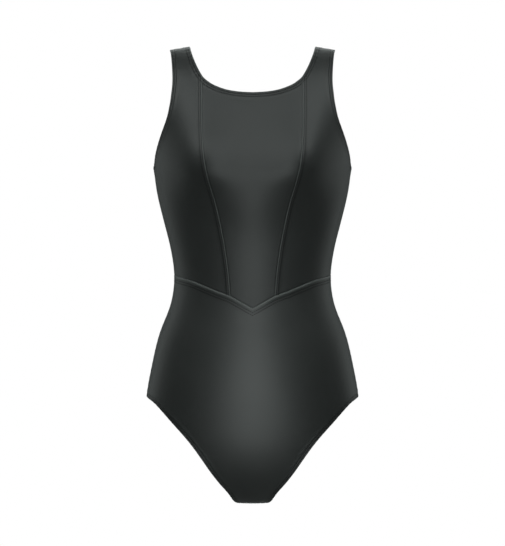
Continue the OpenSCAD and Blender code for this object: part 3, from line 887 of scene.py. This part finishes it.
def knit_material(name, dark, light, roughness, sheen, knit_height, specular=0.5):
    """A fine warp knit: soft clouds in its tone, and columns of tiny loops in its surface."""
    material, tree, cloth = new_material(name)
    body = add(tree, "TexCoord", out="Object")
    weave = body.node.outputs["UV"]
    clouds = add(tree, "TexNoise", Vector=body, Scale=9.0, Detail=5.0, Roughness=0.55)
    fibres = add(tree, "TexNoise", Vector=weave, Scale=FIBRES, Detail=2.0, Roughness=0.6)
    blend = add(tree, "Math", fibres, 0.35, clouds, operation="MULTIPLY_ADD")
    tone = add_ramp(tree, blend, (0.35, dark), (0.95, light))
    # Painted light and shade: the rim attribute makes the colour paler on folded edges and darker in the
    # rows of stitches.
    rim = add(tree, "Attribute", attribute_name="rim", out="Fac")
    gain = add(tree, "Math", rim, PAINTED_EDGE_LIGHT, 1.0, operation="MULTIPLY_ADD")
    lit = add(tree, "VectorMath", tone, gain, operation="MULTIPLY")
    polish = add(tree, "MapRange", clouds, To_Min=roughness - POLISH, To_Max=roughness + POLISH)
    wave = {"Vector": weave, "out": "Fac"}
    wales = add(tree, "TexWave", bands_direction="X", Scale=WALES, Distortion=0.6, **wave)
    courses = add(tree, "TexWave", bands_direction="Y", Scale=COURSES, Distortion=0.8, **wave)
    loops = add(tree, "Math", wales, courses, operation="MULTIPLY")
    relief = add(tree, "Bump", Height=loops, Strength=knit_height, Distance=0.0002)
    set_values(cloth, Base_Color=lit, Roughness=polish, Normal=relief, Specular_IOR_Level=specular)
    set_values(cloth, Sheen_Weight=sheen, Sheen_Roughness=0.4, Sheen_Tint=SHEEN_TINT)
    return material


def corded_material(name, tone, scale, roughness, specular=0.5):
    """Twisted thread or ribbed elastic: bands across the piece and a slightly uneven tone."""
    material, tree, cloth = new_material(name)
    body = add(tree, "TexCoord", out="Object")
    uneven = add(tree, "TexNoise", Vector=body, Scale=260.0, Detail=3.0)
    shade = add_ramp(tree, uneven, (0, [0.65 * c for c in tone]), (1, [1.5 * c for c in tone]))
    bands = {"bands_direction": "DIAGONAL", "Scale": scale, "Distortion": 1.0}
    cords = add(tree, "TexWave", Vector=body, out="Fac", **bands)
    relief = add(tree, "Bump", Height=cords, Strength=0.4, Distance=0.00015)
    set_values(cloth, Base_Color=shade, Normal=relief)
    set_values(cloth, Roughness=roughness, Specular_IOR_Level=specular)
    return material


SATIN = knit_material(
    "satin_tricot",
    dark=(0.0105, 0.0114, 0.0111),
    light=(0.0150, 0.0163, 0.0158),
    roughness=0.46,
    sheen=0.06,
    knit_height=0.12,
)
LINING_CLOTH = knit_material(
    "lining_tricot",
    dark=(0.0150, 0.0158, 0.0156),
    light=(0.0200, 0.0211, 0.0208),
    roughness=0.62,
    sheen=0.03,
    knit_height=0.25,
    specular=0.25,
)
RIBBED = corded_material("ribbed_elastic", (0.030, 0.031, 0.031), scale=700.0, roughness=0.7)
THREAD = corded_material(
    "sewing_thread", (0.0030, 0.0032, 0.0032), scale=900.0, roughness=0.85, specular=0.12
)


# ---------- making pieces
def sew_in(name, material, points, polygons, places=None):
    """Makes a finished piece, and fixes it to the garment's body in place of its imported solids."""
    mesh = bpy.data.meshes.new(name)
    mesh.from_pydata((points * MM).tolist(), [], [list(p) for p in polygons])
    mesh.shade_smooth()
    if places is not None:
        loops = np.empty(len(mesh.loops), np.int32)
        mesh.loops.foreach_get("vertex_index", loops)
        weave = mesh.uv_layers.new(name="Cloth")
        weave.data.foreach_set("uv", (places[loops, :2] * MM).astype(np.float32).ravel())
        rim = mesh.attributes.new("rim", "FLOAT", "POINT")
        rim.data.foreach_set("value", places[:, 2].astype(np.float32))
    mesh.update()
    mesh.materials.append(material)
    piece = bpy.data.objects.new(name, mesh)
    bpy.context.scene.collection.objects.link(piece)
    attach(piece, "root")
    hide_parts(name)
    return piece


def sew_in_shell(name, material, shell):
    return sew_in(name, material, shell.points, shell.quads, shell.places)


left_side = side_panel()
outer = {
    "front_center_panel": center_panel(),
    "front_side_panel_left": left_side,
    "front_side_panel_right": left_side.mirrored(),
    "front_brief_panel": brief_panel(),
    "back_panel": back_panel(),
}
outer_pieces = {name: sew_in_shell(name, SATIN, shell) for name, shell in outer.items()}


# ---------- paths for thread and strips
class Path:
    """A run of places, each with its own side, that thread or a strip follows."""

    def __init__(self, side, a, h):
        self.side = np.broadcast_to(side, np.shape(a)).astype(int)
        self.a = np.asarray(a, float)
        self.h = np.asarray(h, float)

    def points(self):
        return skin(self.side, self.a, self.h)

    def normals(self):
        return normal(self.side, self.a, self.h)

    def turned(self):
        return Path(self.side[::-1], self.a[::-1], self.h[::-1])

    def other_half(self):
        return Path(self.side, -self.a, self.h)


def follow(line, low=0.0, high=None, spacing=1.5):
    high = line.length if high is None else high
    places = line.at(np.linspace(low, high, max(3, int((high - low) / spacing) + 1)))
    return Path(line.side, places[:, 0], places[:, 1])


def chain(paths, closed=False):
    """Paths one after another, with the points they share kept once."""
    parts = [paths[0]] + [Path(p.side[1:], p.a[1:], p.h[1:]) for p in paths[1:]]
    side, a, h = (np.concatenate([getattr(p, key) for p in parts]) for key in ("side", "a", "h"))
    return Path(side[:-1], a[:-1], h[:-1]) if closed else Path(side, a, h)


def both_halves(path):
    """A path from the garment's middle outwards, drawn from one side right across to the other."""
    return chain([path.other_half().turned(), path])


def beside(path, distance, closed):
    """The path moved to its left, as seen from outside, with its corners mitred."""
    points = path.points()
    ahead = np.roll(points, -1, axis=0) - points
    if not closed:
        ahead[-1] = ahead[-2]
    ahead = unit(ahead)
    behind = np.roll(ahead, 1, axis=0)
    if not closed:
        behind[0] = ahead[0]
    way = unit(ahead + behind)
    left = unit(np.cross(path.normals(), way))
    left /= np.maximum(0.5, (way * behind).sum(-1, keepdims=True))
    return Path(path.side, *moved(path.side, path.a, path.h, left * distance))


front_neck = follow(NECKLINE)
back_neck = follow(BACK_OPENING)
NECK_LOOP = chain(
    [front_neck, back_neck.turned(), back_neck.other_half(), front_neck.other_half().turned()], True
)
ARMHOLE_LOOP = chain([follow(FRONT_ARMHOLE), follow(BACK_ARMHOLE).turned()], True)
LEG_LOOP = chain([follow(FRONT_LEG).turned(), follow(BACK_LEG)], True)


class Surface:
    """The sewn fabric, which thread is laid on and strips are laid against."""

    def __init__(self, shells):
        starts = np.cumsum([0, *(len(shell.points) for shell in shells)])
        points = np.vstack([shell.points for shell in shells])
        quads = np.vstack([shell.quads + start for shell, start in zip(shells, starts)])
        self.tree = BVHTree.FromPolygons(points.tolist(), quads.tolist())

    def cast(self, points, normals, from_outside=True, start=8.0):
        """Where a needle pushed straight in, or straight out, first meets the fabric."""
        way = -1.0 if from_outside else 1.0
        hits = points.copy()
        facing = normals.copy()
        for i, (p, n) in enumerate(zip(points, normals)):
            hit, found, _, _ = self.tree.ray_cast(Vector(p - way * n * start), Vector(way * n), 2 * start)
            if hit is not None:
                hits[i] = hit
                facing[i] = found
        flip = (facing * normals).sum(-1) * way > 0
        facing[flip] *= -1
        return hits, facing


cloth = Surface(outer.values())


NUDGE = 0.4  # how far to either side of a stitch its direction is taken


def resample(path, pitch, closed):
    """Even stations along a path: points, directions and outward normals."""
    points = path.points()
    normals = path.normals()
    if closed:
        points = np.vstack([points, points[:1]])
        normals = np.vstack([normals, normals[:1]])
    run = running_length(points)
    count = int(run[-1] / pitch)
    spots = (np.arange(count) + 0.5) * (run[-1] / count)

    def read(values, at):
        at = np.clip(at, 0, run[-1])
        return np.stack([np.interp(at, run, values[:, k]) for k in range(3)], -1)

    way = unit(read(points, spots + NUDGE) - read(points, spots - NUDGE))
    return read(points, spots), way, unit(read(normals, spots))


# ---------- thread, elastic and allowances
class Parts:
    """Points and polygons gathered from many small closed solids."""

    def __init__(self):
        self.points = []
        self.polygons = []
        self.count = 0

    def add(self, points, polygons):
        self.points.append(points)
        self.polygons += [[i + self.count for i in p] for p in polygons]
        self.count += len(points)

    def add_run(self, rings, closed, is_flipped=False):
        """A solid made of rings of points one after another, with flat ends if it isn't closed."""
        count, sides = rings.shape[:2]
        faces = []
        for i in range(count if closed else count - 1):
            a, b = i * sides, (i + 1) % count * sides
            faces += [[a + k, a + (k + 1) % sides, b + (k + 1) % sides, b + k] for k in range(sides)]
        if not closed:
            faces.append(list(range(sides))[::-1])
            faces.append([(count - 1) * sides + k for k in range(sides)])
        self.add(rings.reshape(-1, 3), [f[::-1] for f in faces] if is_flipped else faces)

    def sew_in(self, name, slot, material, paired=False):
        """Makes the piece, or its left one and the mirrored right one."""
        points = np.vstack(self.points)
        if not paired:
            sew_in(name, material, points, self.polygons)
            return
        sew_in(name + "_left", material, points, self.polygons)
        sew_in(name + "_right", material, points * MIRROR, [p[::-1] for p in self.polygons])


BEAD_SIDES = 6
BEAD_RINGS = [(-0.36, 0.82, 0.1), (0.0, 1.0, 0.0), (0.36, 0.82, 0.1)]  # place, swell and sink
BEAD_DIVE = 0.32  # how deep the ends of a stitch lie in the cloth


def stitch_form(length, width, height):
    """One stitch: a short rounded bead of thread whose ends dive into the cloth."""
    turn = np.arange(BEAD_SIDES) * 2 * np.pi / BEAD_SIDES
    rings = []
    for place, swell, sink in BEAD_RINGS:
        across = np.cos(turn) * swell * width / 2
        up = np.sin(turn) * swell * height / 2 - sink
        rings.append(np.stack([np.full(BEAD_SIDES, place * length), across, up], -1))
    tips = np.array([[-0.5 * length, 0, -BEAD_DIVE], [0.5 * length, 0, -BEAD_DIVE]])
    faces = []
    for k in range(BEAD_SIDES):
        n = (k + 1) % BEAD_SIDES
        for ring in (0, BEAD_SIDES):
            faces.append([ring + n, ring + BEAD_SIDES + n, ring + BEAD_SIDES + k, ring + k])
        faces.append([n, k, 3 * BEAD_SIDES])
        faces.append([3 * BEAD_SIDES + 1, 2 * BEAD_SIDES + k, 2 * BEAD_SIDES + n])
    return np.vstack([*rings, tips]), faces


BEAD = stitch_form(STITCH_LENGTH, width=1.2, height=0.5)
INNER_THREAD = 0.14  # radius of the thread on the inside of a hem
OVERLOCK_THREAD = 0.17
OVERLOCK_PITCH = 1.9
OVERLOCK_SWING = 2.3  # how far the thread swings to either side of the seam
OVERLOCK_DEPTH = 0.75  # how far inside the cloth it runs, over the allowance
ALLOWANCE = 2.5  # half width of a seam allowance, and its height inside the cloth
ALLOWANCE_HEIGHT = (-0.65, -0.1)
STRIP_EDGE = 0.82  # height of a strip's face at its edges, as a share of that between them


def lay_stitches(parts, spots, ways, facing, bead=BEAD):
    form, faces = bead
    ways = unit(ways - (ways * facing).sum(-1, keepdims=True) * facing)
    sideways = np.cross(facing, ways)
    for p, x, y, z in zip(spots, ways, sideways, facing):
        parts.add(p + form @ np.stack([x, y, z]), faces)


def add_thread(parts, points, facing, radius, closed=False, sides=4):
    """A round thread along points."""
    ahead = np.roll(points, -1, axis=0) - np.roll(points, 1, axis=0)
    if not closed:
        ahead[0] = points[1] - points[0]
        ahead[-1] = points[-1] - points[-2]
    ahead = unit(ahead)
    across = unit(np.cross(facing, ahead))[:, None]
    up = np.cross(ahead[:, None], across)
    turn = (np.arange(sides) * 2 * np.pi / sides)[None, :, None]
    parts.add_run(points[:, None] + radius * (np.cos(turn) * across + np.sin(turn) * up), closed)


def add_ribbon(parts, path, near, far, low, high, closed=False, across=4, against=None):
    """A flat strip along a path, with slightly rounded edges. Its heights are measured from the
    form's surface, or from the inside of the cloth that it lies against."""
    shares = np.linspace(0, 1, across)
    strip = []
    for t in [*shares, *shares[::-1]]:
        row = beside(path, mix(near, far, t), closed)
        outward = row.normals()
        base = row.points() if against is None else against.cast(row.points(), outward, False)[0]
        lift = mix(low, high, STRIP_EDGE if t in (0, 1) else 1.0)
        is_back = len(strip) >= across
        strip.append(base + outward * (low + high - lift if is_back else lift))
    parts.add_run(np.stack(strip, 1), closed, is_flipped=far > near)


def topstitching(path, way, first, closed):
    """Two rows of stitches on the outside, and the thread that zigzags between them on the inside."""
    parts = Parts()
    inner = []
    for distance in (way * first, way * (first + ROW_GAP)):
        spots, ways, facing = resample(beside(path, distance, closed), STITCH_PITCH, closed)
        outside, found = cloth.cast(spots, facing)
        lay_stitches(parts, outside, ways, unit(found + facing))
        inner.append(cloth.cast(spots, facing, from_outside=False))
    count = min(len(row[0]) for row in inner)
    spots, facing = (np.stack([row[k][:count] for row in inner], 1).reshape(-1, 3) for k in (0, 1))
    add_thread(parts, spots + facing * INNER_THREAD * 0.8, facing, INNER_THREAD, closed)
    return parts


def overlock(path):
    """An overlocked seam allowance: a narrow strip of cloth wrapped in loops of thread."""
    parts = Parts()
    add_ribbon(parts, path, -ALLOWANCE, ALLOWANCE, *ALLOWANCE_HEIGHT, against=cloth)
    spots, ways, facing = resample(path, OVERLOCK_PITCH, closed=False)
    left = unit(np.cross(facing, ways))
    swing = np.where(np.arange(len(spots)) % 2, OVERLOCK_SWING, -OVERLOCK_SWING)[:, None]
    inside, _ = cloth.cast(spots + left * swing, facing, from_outside=False)
    add_thread(parts, inside - facing * OVERLOCK_DEPTH, -facing, OVERLOCK_THREAD)
    return parts


# Name, path, the side of it where the cloth lies, distance of the first row, whether it is a pair.
HEMS = [
    ("neck", NECK_LOOP, -1, NECK_ROW, False),
    ("armhole", ARMHOLE_LOOP, 1, ARMHOLE_ROW, True),
    ("leg", LEG_LOOP, -1, LEG_ROW, True),
]
LAPS = [
    ("princess", follow(PRINCESS), -1, PRINCESS_ROW, True),
    ("waist", both_halves(follow(WAISTLINE)), -1, WAIST_ROW, False),
]
ELASTIC = (1.5, 8.0)  # where the elastic lies in from the edge, and its height inside the hem
ELASTIC_HEIGHT = (-1.5, -0.9)
for name, path, way, first, is_pair in HEMS:
    topstitching(path, way, first, True).sew_in(name + "_topstitch", "thread", THREAD, is_pair)
for name, path, way, first, is_pair in LAPS:
    topstitching(path, way, first, False).sew_in(name + "_topstitch", "thread", THREAD, is_pair)
for name, path, way, _, is_pair in HEMS:
    elastic = Parts()
    add_ribbon(elastic, path, *(way * d for d in ELASTIC), *ELASTIC_HEIGHT, closed=True)
    elastic.sew_in(name + "_elastic", "elastic", RIBBED, is_pair)

# Seam allowances stop short of the hems that they run into, and of the seams that cross them.
HEM_CLEAR = HEM + 1.0
SEAM_CLEAR = 4.0
SEAMS = [
    ("shoulder", follow(SHOULDER_SEAM, HEM, SHOULDER_SEAM.length - HEM), True),
    ("side", follow(SIDE_SEAM, HEM_CLEAR, SIDE_SEAM.length - HEM_CLEAR), True),
    ("princess", follow(PRINCESS, SEAM_CLEAR, PRINCESS.length - HEM_CLEAR), True),
    ("waist", both_halves(follow(WAISTLINE, 0, WAISTLINE.length - SEAM_CLEAR)), False),
    ("crotch", both_halves(follow(CROTCH_SEAM, 0, CROTCH_SEAM.length - HEM_CLEAR)), False),
]
for name, path, is_pair in SEAMS:
    overlock(path).sew_in(name + "_seam", "thread", THREAD, is_pair)

# ---------- the back's pinch, sewn
PINCH_TOP = BACK_POINT - 11.0
PINCH_LENGTH = 32.0
PINCH_WIDTH = 3.0  # half width of the elastic under the pinch, and its height inside the cloth
PINCH_HEIGHT = (-0.8, -0.1)
TACK_TOP = BACK_POINT - NECK_ROW - ROW_GAP - 5.0
TACK_LENGTH = 8.0
TACK_PITCH = 0.66
TACK_BEAD = stitch_form(length=2.9, width=0.62, height=0.55)


def down_middle(top, length, spacing=1.5):
    return follow(straight(BACK, (0.0, top - length), (0.0, top)), spacing=spacing)


def bartack():
    """Close bars of thread across the middle of the gathers."""
    parts = Parts()
    path = down_middle(TACK_TOP, TACK_LENGTH, spacing=0.5)
    spots, _, facing = resample(path, TACK_PITCH, closed=False)
    spots, _ = cloth.cast(spots, facing)
    lay_stitches(parts, spots, np.tile([1.0, 0.0, 0.0], (len(spots), 1)), facing, TACK_BEAD)
    return parts


def pinch_elastic():
    parts = Parts()
    path = down_middle(PINCH_TOP, PINCH_LENGTH)
    add_ribbon(parts, path, -PINCH_WIDTH, PINCH_WIDTH, *PINCH_HEIGHT, across=5, against=cloth)
    return parts


pinch_elastic().sew_in("back_pinch_elastic", "elastic", RIBBED)
bartack().sew_in("back_pinch_bartack", "thread", THREAD)

# ---------- linings
LINING_SIDE = 87.8  # the angle where the lining's side edge lies, just inside the side seam
LINING_TOP = SHOULDER - 3.5
LINING_PITCH = 4.0
UNDER_HEM = -0.95  # heights of the lining's outer face, and where it changes from one to the other
OVER_SEAMS = -2.0
TUCK_ZONE = (9.3, 17)
LINING_SLACK = 0.035  # how much larger than its place the bodice lining is cut
LINING_SAG = 2.6  # furthest that it may move as it settles
LINING_OUT = 0.15  # and furthest outwards, so that it stays inside the fabric
HANG_FRAMES = 16
HANG_SETTINGS = {
    "quality": 4,
    "mass": 0.02,
    "air_damping": 6,
    "tension_stiffness": 12,
    "compression_stiffness": 4,
    "shear_stiffness": 4,
    "bending_stiffness": 0.02,
    "vertex_group_mass": "sewn",
    "shrink_min": -LINING_SLACK,
}
HANG_GRAVITY = 0.5


def inset(line, distance):
    """The line moved into the cloth, and cut off where the lining ends at the side and shoulder."""
    path = beside(Path(line.side, *line.places.T), distance, False)
    keep = (path.a <= LINING_SIDE) & (path.h <= LINING_TOP)
    return Line(line.side, np.stack([np.maximum(path.a, 0), path.h], 1)[keep])


def tuck(d):
    """Height of the lining's outer face: under the turned hem at its edge, and over the seams inside."""
    return mix(OVER_SEAMS, UNDER_HEM, fade(d, *TUCK_ZONE))


def hang(points, quads, pinned):
    """Lets a loosely cut lining settle between its sewn edges, as cloth under its own weight."""
    scene = bpy.context.scene
    mesh = bpy.data.meshes.new("hanging")
    mesh.from_pydata((points * MM).tolist(), [], quads.tolist())
    piece = bpy.data.objects.new("hanging", mesh)
    scene.collection.objects.link(piece)
    piece.vertex_groups.new(name="sewn").add(np.nonzero(pinned)[0].tolist(), 1.0, "REPLACE")
    modifier = piece.modifiers.new("hang", "CLOTH")
    for key, value in HANG_SETTINGS.items():
        setattr(modifier.settings, key, value)
    modifier.settings.effector_weights.gravity = HANG_GRAVITY
    modifier.point_cache.frame_start = 1
    modifier.point_cache.frame_end = HANG_FRAMES
    for number in range(1, HANG_FRAMES + 1):
        scene.frame_set(number)
    settled = piece.evaluated_get(bpy.context.evaluated_depsgraph_get()).data
    out = np.empty(len(points) * 3)
    settled.vertices.foreach_get("co", out)
    bpy.data.objects.remove(piece)
    bpy.data.meshes.remove(mesh)
    scene.frame_set(1)
    shift = out.reshape(-1, 3) / MM - points
    length = np.linalg.norm(shift, axis=1, keepdims=True)
    return shift * np.minimum(1, LINING_SAG / np.maximum(length, 1e-9))


def settled_shift(face, outward):
    """How a half lining's points move when it hangs, pinned all round."""
    _, quads = grid_quads(*face.shape[:2])
    pinned = np.ones(face.shape[:2], bool)
    pinned[1:-1, 1:-1] = False
    shift = hang(face.reshape(-1, 3), quads.reshape(-1, 4), pinned.ravel()).reshape(face.shape)
    out = (shift * outward).sum(-1, keepdims=True)
    return shift - outward * np.maximum(out - LINING_OUT, 0)


def lining_shell(side, a, h, hems, cells, welded, hangs):
    """The shell of a lining whose edges are caught in hems. side may be one value or an array."""
    base = skin(side, a, h)
    outward = normal(side, a, h)
    from_edge = np.min([ruler(line).measure(base)[0] for line in hems], axis=0)
    face = base + outward * (tuck(from_edge) + drape(base))[..., None]
    if hangs:
        face += settled_shift(face, outward)
    places = cloth_places(a, h, np.zeros(a.shape))
    winding = int(np.ravel(side)[-1])
    return Shell(winding, [face, face - outward * LINING], cells, [places, places], welded)


def bodice_lining():
    middle_end = 0.62
    neck = inset(NECKLINE, -LINING_TUCK)
    armhole = inset(FRONT_ARMHOLE, LINING_TUCK)
    waist = Line(FRONT, WAISTLINE.places[WAISTLINE.places[:, 0] <= LINING_SIDE])
    panel = Panel(
        FRONT,
        whole(waist),
        whole(straight(FRONT, neck.end, armhole.end)),
        Edge((straight(FRONT, waist.start, neck.start), middle_end, False), (neck, 1.0, False)),
        Edge((straight(FRONT, waist.end, armhole.start), 0.375, False), (armhole, 1.0, False)),
    )
    faces, cells, welded = panel_grid(panel, [LINING_STEPS] * 4, LINING_PITCH, middle_end=middle_end)
    u, v, _ = faces[0]
    a, h = np.moveaxis(panel.place(u, v), -1, 0)
    return lining_shell(FRONT, a, h, (NECKLINE, FRONT_ARMHOLE), cells, welded, hangs=True)


def crotch_lining():
    """One piece from the front, under the crotch and up the back, caught in both leg hems."""
    front_rows = inset(FRONT_LEG, LINING_TUCK).at(np.linspace(FRONT_LEG.knot(3), 0, 36))
    back_rows = inset(BACK_LEG, -LINING_TUCK).at(np.linspace(0, BACK_LEG.knot(4), 36))[1:]
    rows = np.vstack([front_rows, back_rows])
    share = 1 - np.r_[np.linspace(1, 0.12, 14), 0.08, 0.05, 0.02, 0.0]  # closer near the hem
    side = np.repeat([FRONT, BACK], [len(front_rows), len(back_rows)])
    side, a, h = (np.repeat(v[:, None], len(share), axis=1) for v in (side, *rows.T))
    cells = np.ones((len(rows) - 1, len(share) - 1), bool)
    welded = (np.arange(len(rows)), np.zeros(len(rows), int))
    return lining_shell(side, a * share, h, (FRONT_LEG, BACK_LEG), cells, welded, hangs=False)


linings = [
    sew_in_shell("front_bodice_lining", LINING_CLOTH, bodice_lining()),
    sew_in_shell("crotch_lining", LINING_CLOTH, crotch_lining()),
]

# ---------- the stage
CAMERA_BACK = 1.45
CAMERA_HEIGHT = 0.55
PICTURE_HEIGHT = 0.7917  # what the camera sees of the plane through the garment's middle
PICTURE_MIDDLE = 0.3345
SENSOR = 36.0


def make_camera():
    data = bpy.data.cameras.new("camera")
    data.lens = SENSOR * CAMERA_BACK / PICTURE_HEIGHT
    camera = bpy.data.objects.new("camera", data)
    camera.location = (0, -CAMERA_BACK, CAMERA_HEIGHT)
    camera.rotation_euler = (math.radians(90), 0, 0)
    bpy.context.scene.collection.objects.link(camera)
    bpy.context.scene.camera = camera
    shift = (PICTURE_MIDDLE - CAMERA_HEIGHT) / PICTURE_HEIGHT
    driver = data.driver_add("shift_y").driver  # the lens is shifted only at the camera's own place
    place = driver.variables.new()
    place.name = "y"
    place.type = "TRANSFORMS"
    place.targets[0].id = camera
    place.targets[0].transform_type = "LOC_Y"
    driver.expression = f"{shift:.5f} if abs(y + {CAMERA_BACK}) < 0.0001 else 0"


TINT = (0.93, 1.0, 0.98)
ROOM_LIGHT = 0.10
WALL_LIGHT = 0.08  # of the walls straight behind and in front of the garment


def show_to_camera(tree, seen, unseen, target):
    """Lets the camera see one shader, and everything else the other."""
    is_camera = add(tree, "LightPath", out="Is Camera Ray")
    set_values(target, Surface=add(tree, "MixShader", is_camera, unseen, seen))


def make_world():
    """White behind the garment for the camera, and a dim room for its reflections."""
    world = bpy.data.worlds.new("studio")
    world.use_nodes = True
    tree = world.node_tree
    background = add(tree, "Background", Color=(1, 1, 1, 1), Strength=1.0)
    way = add(tree, "TexCoord", out="Generated")
    depth = add(tree, "Math", add(tree, "SeparateXYZ", way, out="Y"), operation="ABSOLUTE")
    ends = {"From_Min": 0.72, "From_Max": 0.98, "To_Min": ROOM_LIGHT, "To_Max": WALL_LIGHT}
    glow = add(tree, "MapRange", depth, interpolation_type="SMOOTHSTEP", **ends)
    room = add(tree, "Background", Color=(*TINT, 1), Strength=glow)
    show_to_camera(tree, background, room, tree.nodes["World Output"])
    bpy.context.scene.world = world


FLOOR_HALF = 30.0
FLOOR_LEVEL = -1.75
FLOOR_CORNERS = [(-1, -1), (1, -1), (1, 1), (-1, 1)]


def make_floor():
    """A wide pale floor well below the garment, which hangs free as if on an unseen wearer."""
    corners = [(x * FLOOR_HALF, y * FLOOR_HALF, FLOOR_LEVEL) for x, y in FLOOR_CORNERS]
    mesh = bpy.data.meshes.new("floor")
    mesh.from_pydata(corners, [], [(0, 1, 2, 3)])
    floor = bpy.data.objects.new("floor", mesh)
    bpy.context.scene.collection.objects.link(floor)
    material, tree, paint = new_material("pale_floor")
    set_values(paint, Base_Color=(0.3, 0.3, 0.3, 1), Roughness=0.9)
    glow = add(tree, "Emission", Strength=1.0)
    show_to_camera(tree, glow, paint.outputs[0], tree.nodes["Material Output"])
    mesh.materials.append(material)


def softbox(name, place, aim, size, watts, only=None):
    """A softbox that the camera doesn't see. If only is given, it lights just those pieces."""
    data = bpy.data.lights.new(name, "AREA")
    data.shape = "RECTANGLE"
    data.size, data.size_y = size
    data.energy = watts
    data.color = TINT
    light = bpy.data.objects.new(name, data)
    bpy.context.scene.collection.objects.link(light)
    light.location = place
    light.rotation_euler = (Vector(aim) - Vector(place)).to_track_quat("-Z", "Y").to_euler()
    light.visible_camera = False
    if only is not None:
        lit = bpy.data.collections.new(name + "_lights")
        for piece in only:
            lit.objects.link(piece)
        light.light_linking.receiver_collection = lit


MIDDLE = (0, 0, 0.34)
FRONT_PIECES = [piece for name, piece in outer_pieces.items() if name.startswith("front")]
BACK_PIECES = [outer_pieces["back_panel"]]
BRIEF = [outer_pieces["front_brief_panel"]]
# Name, place, aim, size, watts, and the only pieces lit.
SOFTBOXES = [
    ("front_key_low", (0, -1.7, -0.40), MIDDLE, (0.9, 1.1), 8.3, None),
    ("front_key_high", (0, -1.7, 0.80), MIDDLE, (0.9, 1.35), 7.2, None),
    ("front_key_brief", (0, -1.7, -0.22), MIDDLE, (0.9, 1.45), 5, BRIEF),
    ("front_top", (0, -1.2, 1.8), (0, 0, 0.6), (3.4, 0.9), 16.5, None),
    ("back_top", (0, 1.2, 1.8), (0, 0, 0.6), (3.2, 0.9), 20, None),
    ("back_inner", (0, 1.5, -0.55), (0, 0, 0.5), (0.8, 0.5), 14, linings + FRONT_PIECES),
]
# The same for those that stand on both sides, placed here on the wearer's left.
SIDE_SOFTBOXES = [
    ("seat_low", (1.05, 1.25, -0.9), (0, 0.1, 0.1), (0.5, 0.6), 11, BACK_PIECES),
    ("seat_high", (1.12, 1.25, 0.56), (0, 0.1, 0.2), (0.4, 0.3), 4, BACK_PIECES),
    ("chest", (1.3, -0.8, 1.65), (0, -0.1, 0.54), (0.6, 0.6), 4.8, FRONT_PIECES),
    ("behind", (1.9, 0.9, 0.3), MIDDLE, (1.2, 2.2), 5.5, FRONT_PIECES),
    ("before", (1.9, -0.6, 0.3), MIDDLE, (1.4, 2.2), 12, BACK_PIECES),
]

make_camera()
make_world()
make_floor()
for settings in SOFTBOXES:
    softbox(*settings)
for way, hand in ((-1, "right"), (1, "left")):
    for name, (x, y, z), *settings in SIDE_SOFTBOXES:
        softbox(f"{name}_{hand}", (way * x, y, z), *settings)
bpy.context.scene.view_settings.view_transform = "Standard"
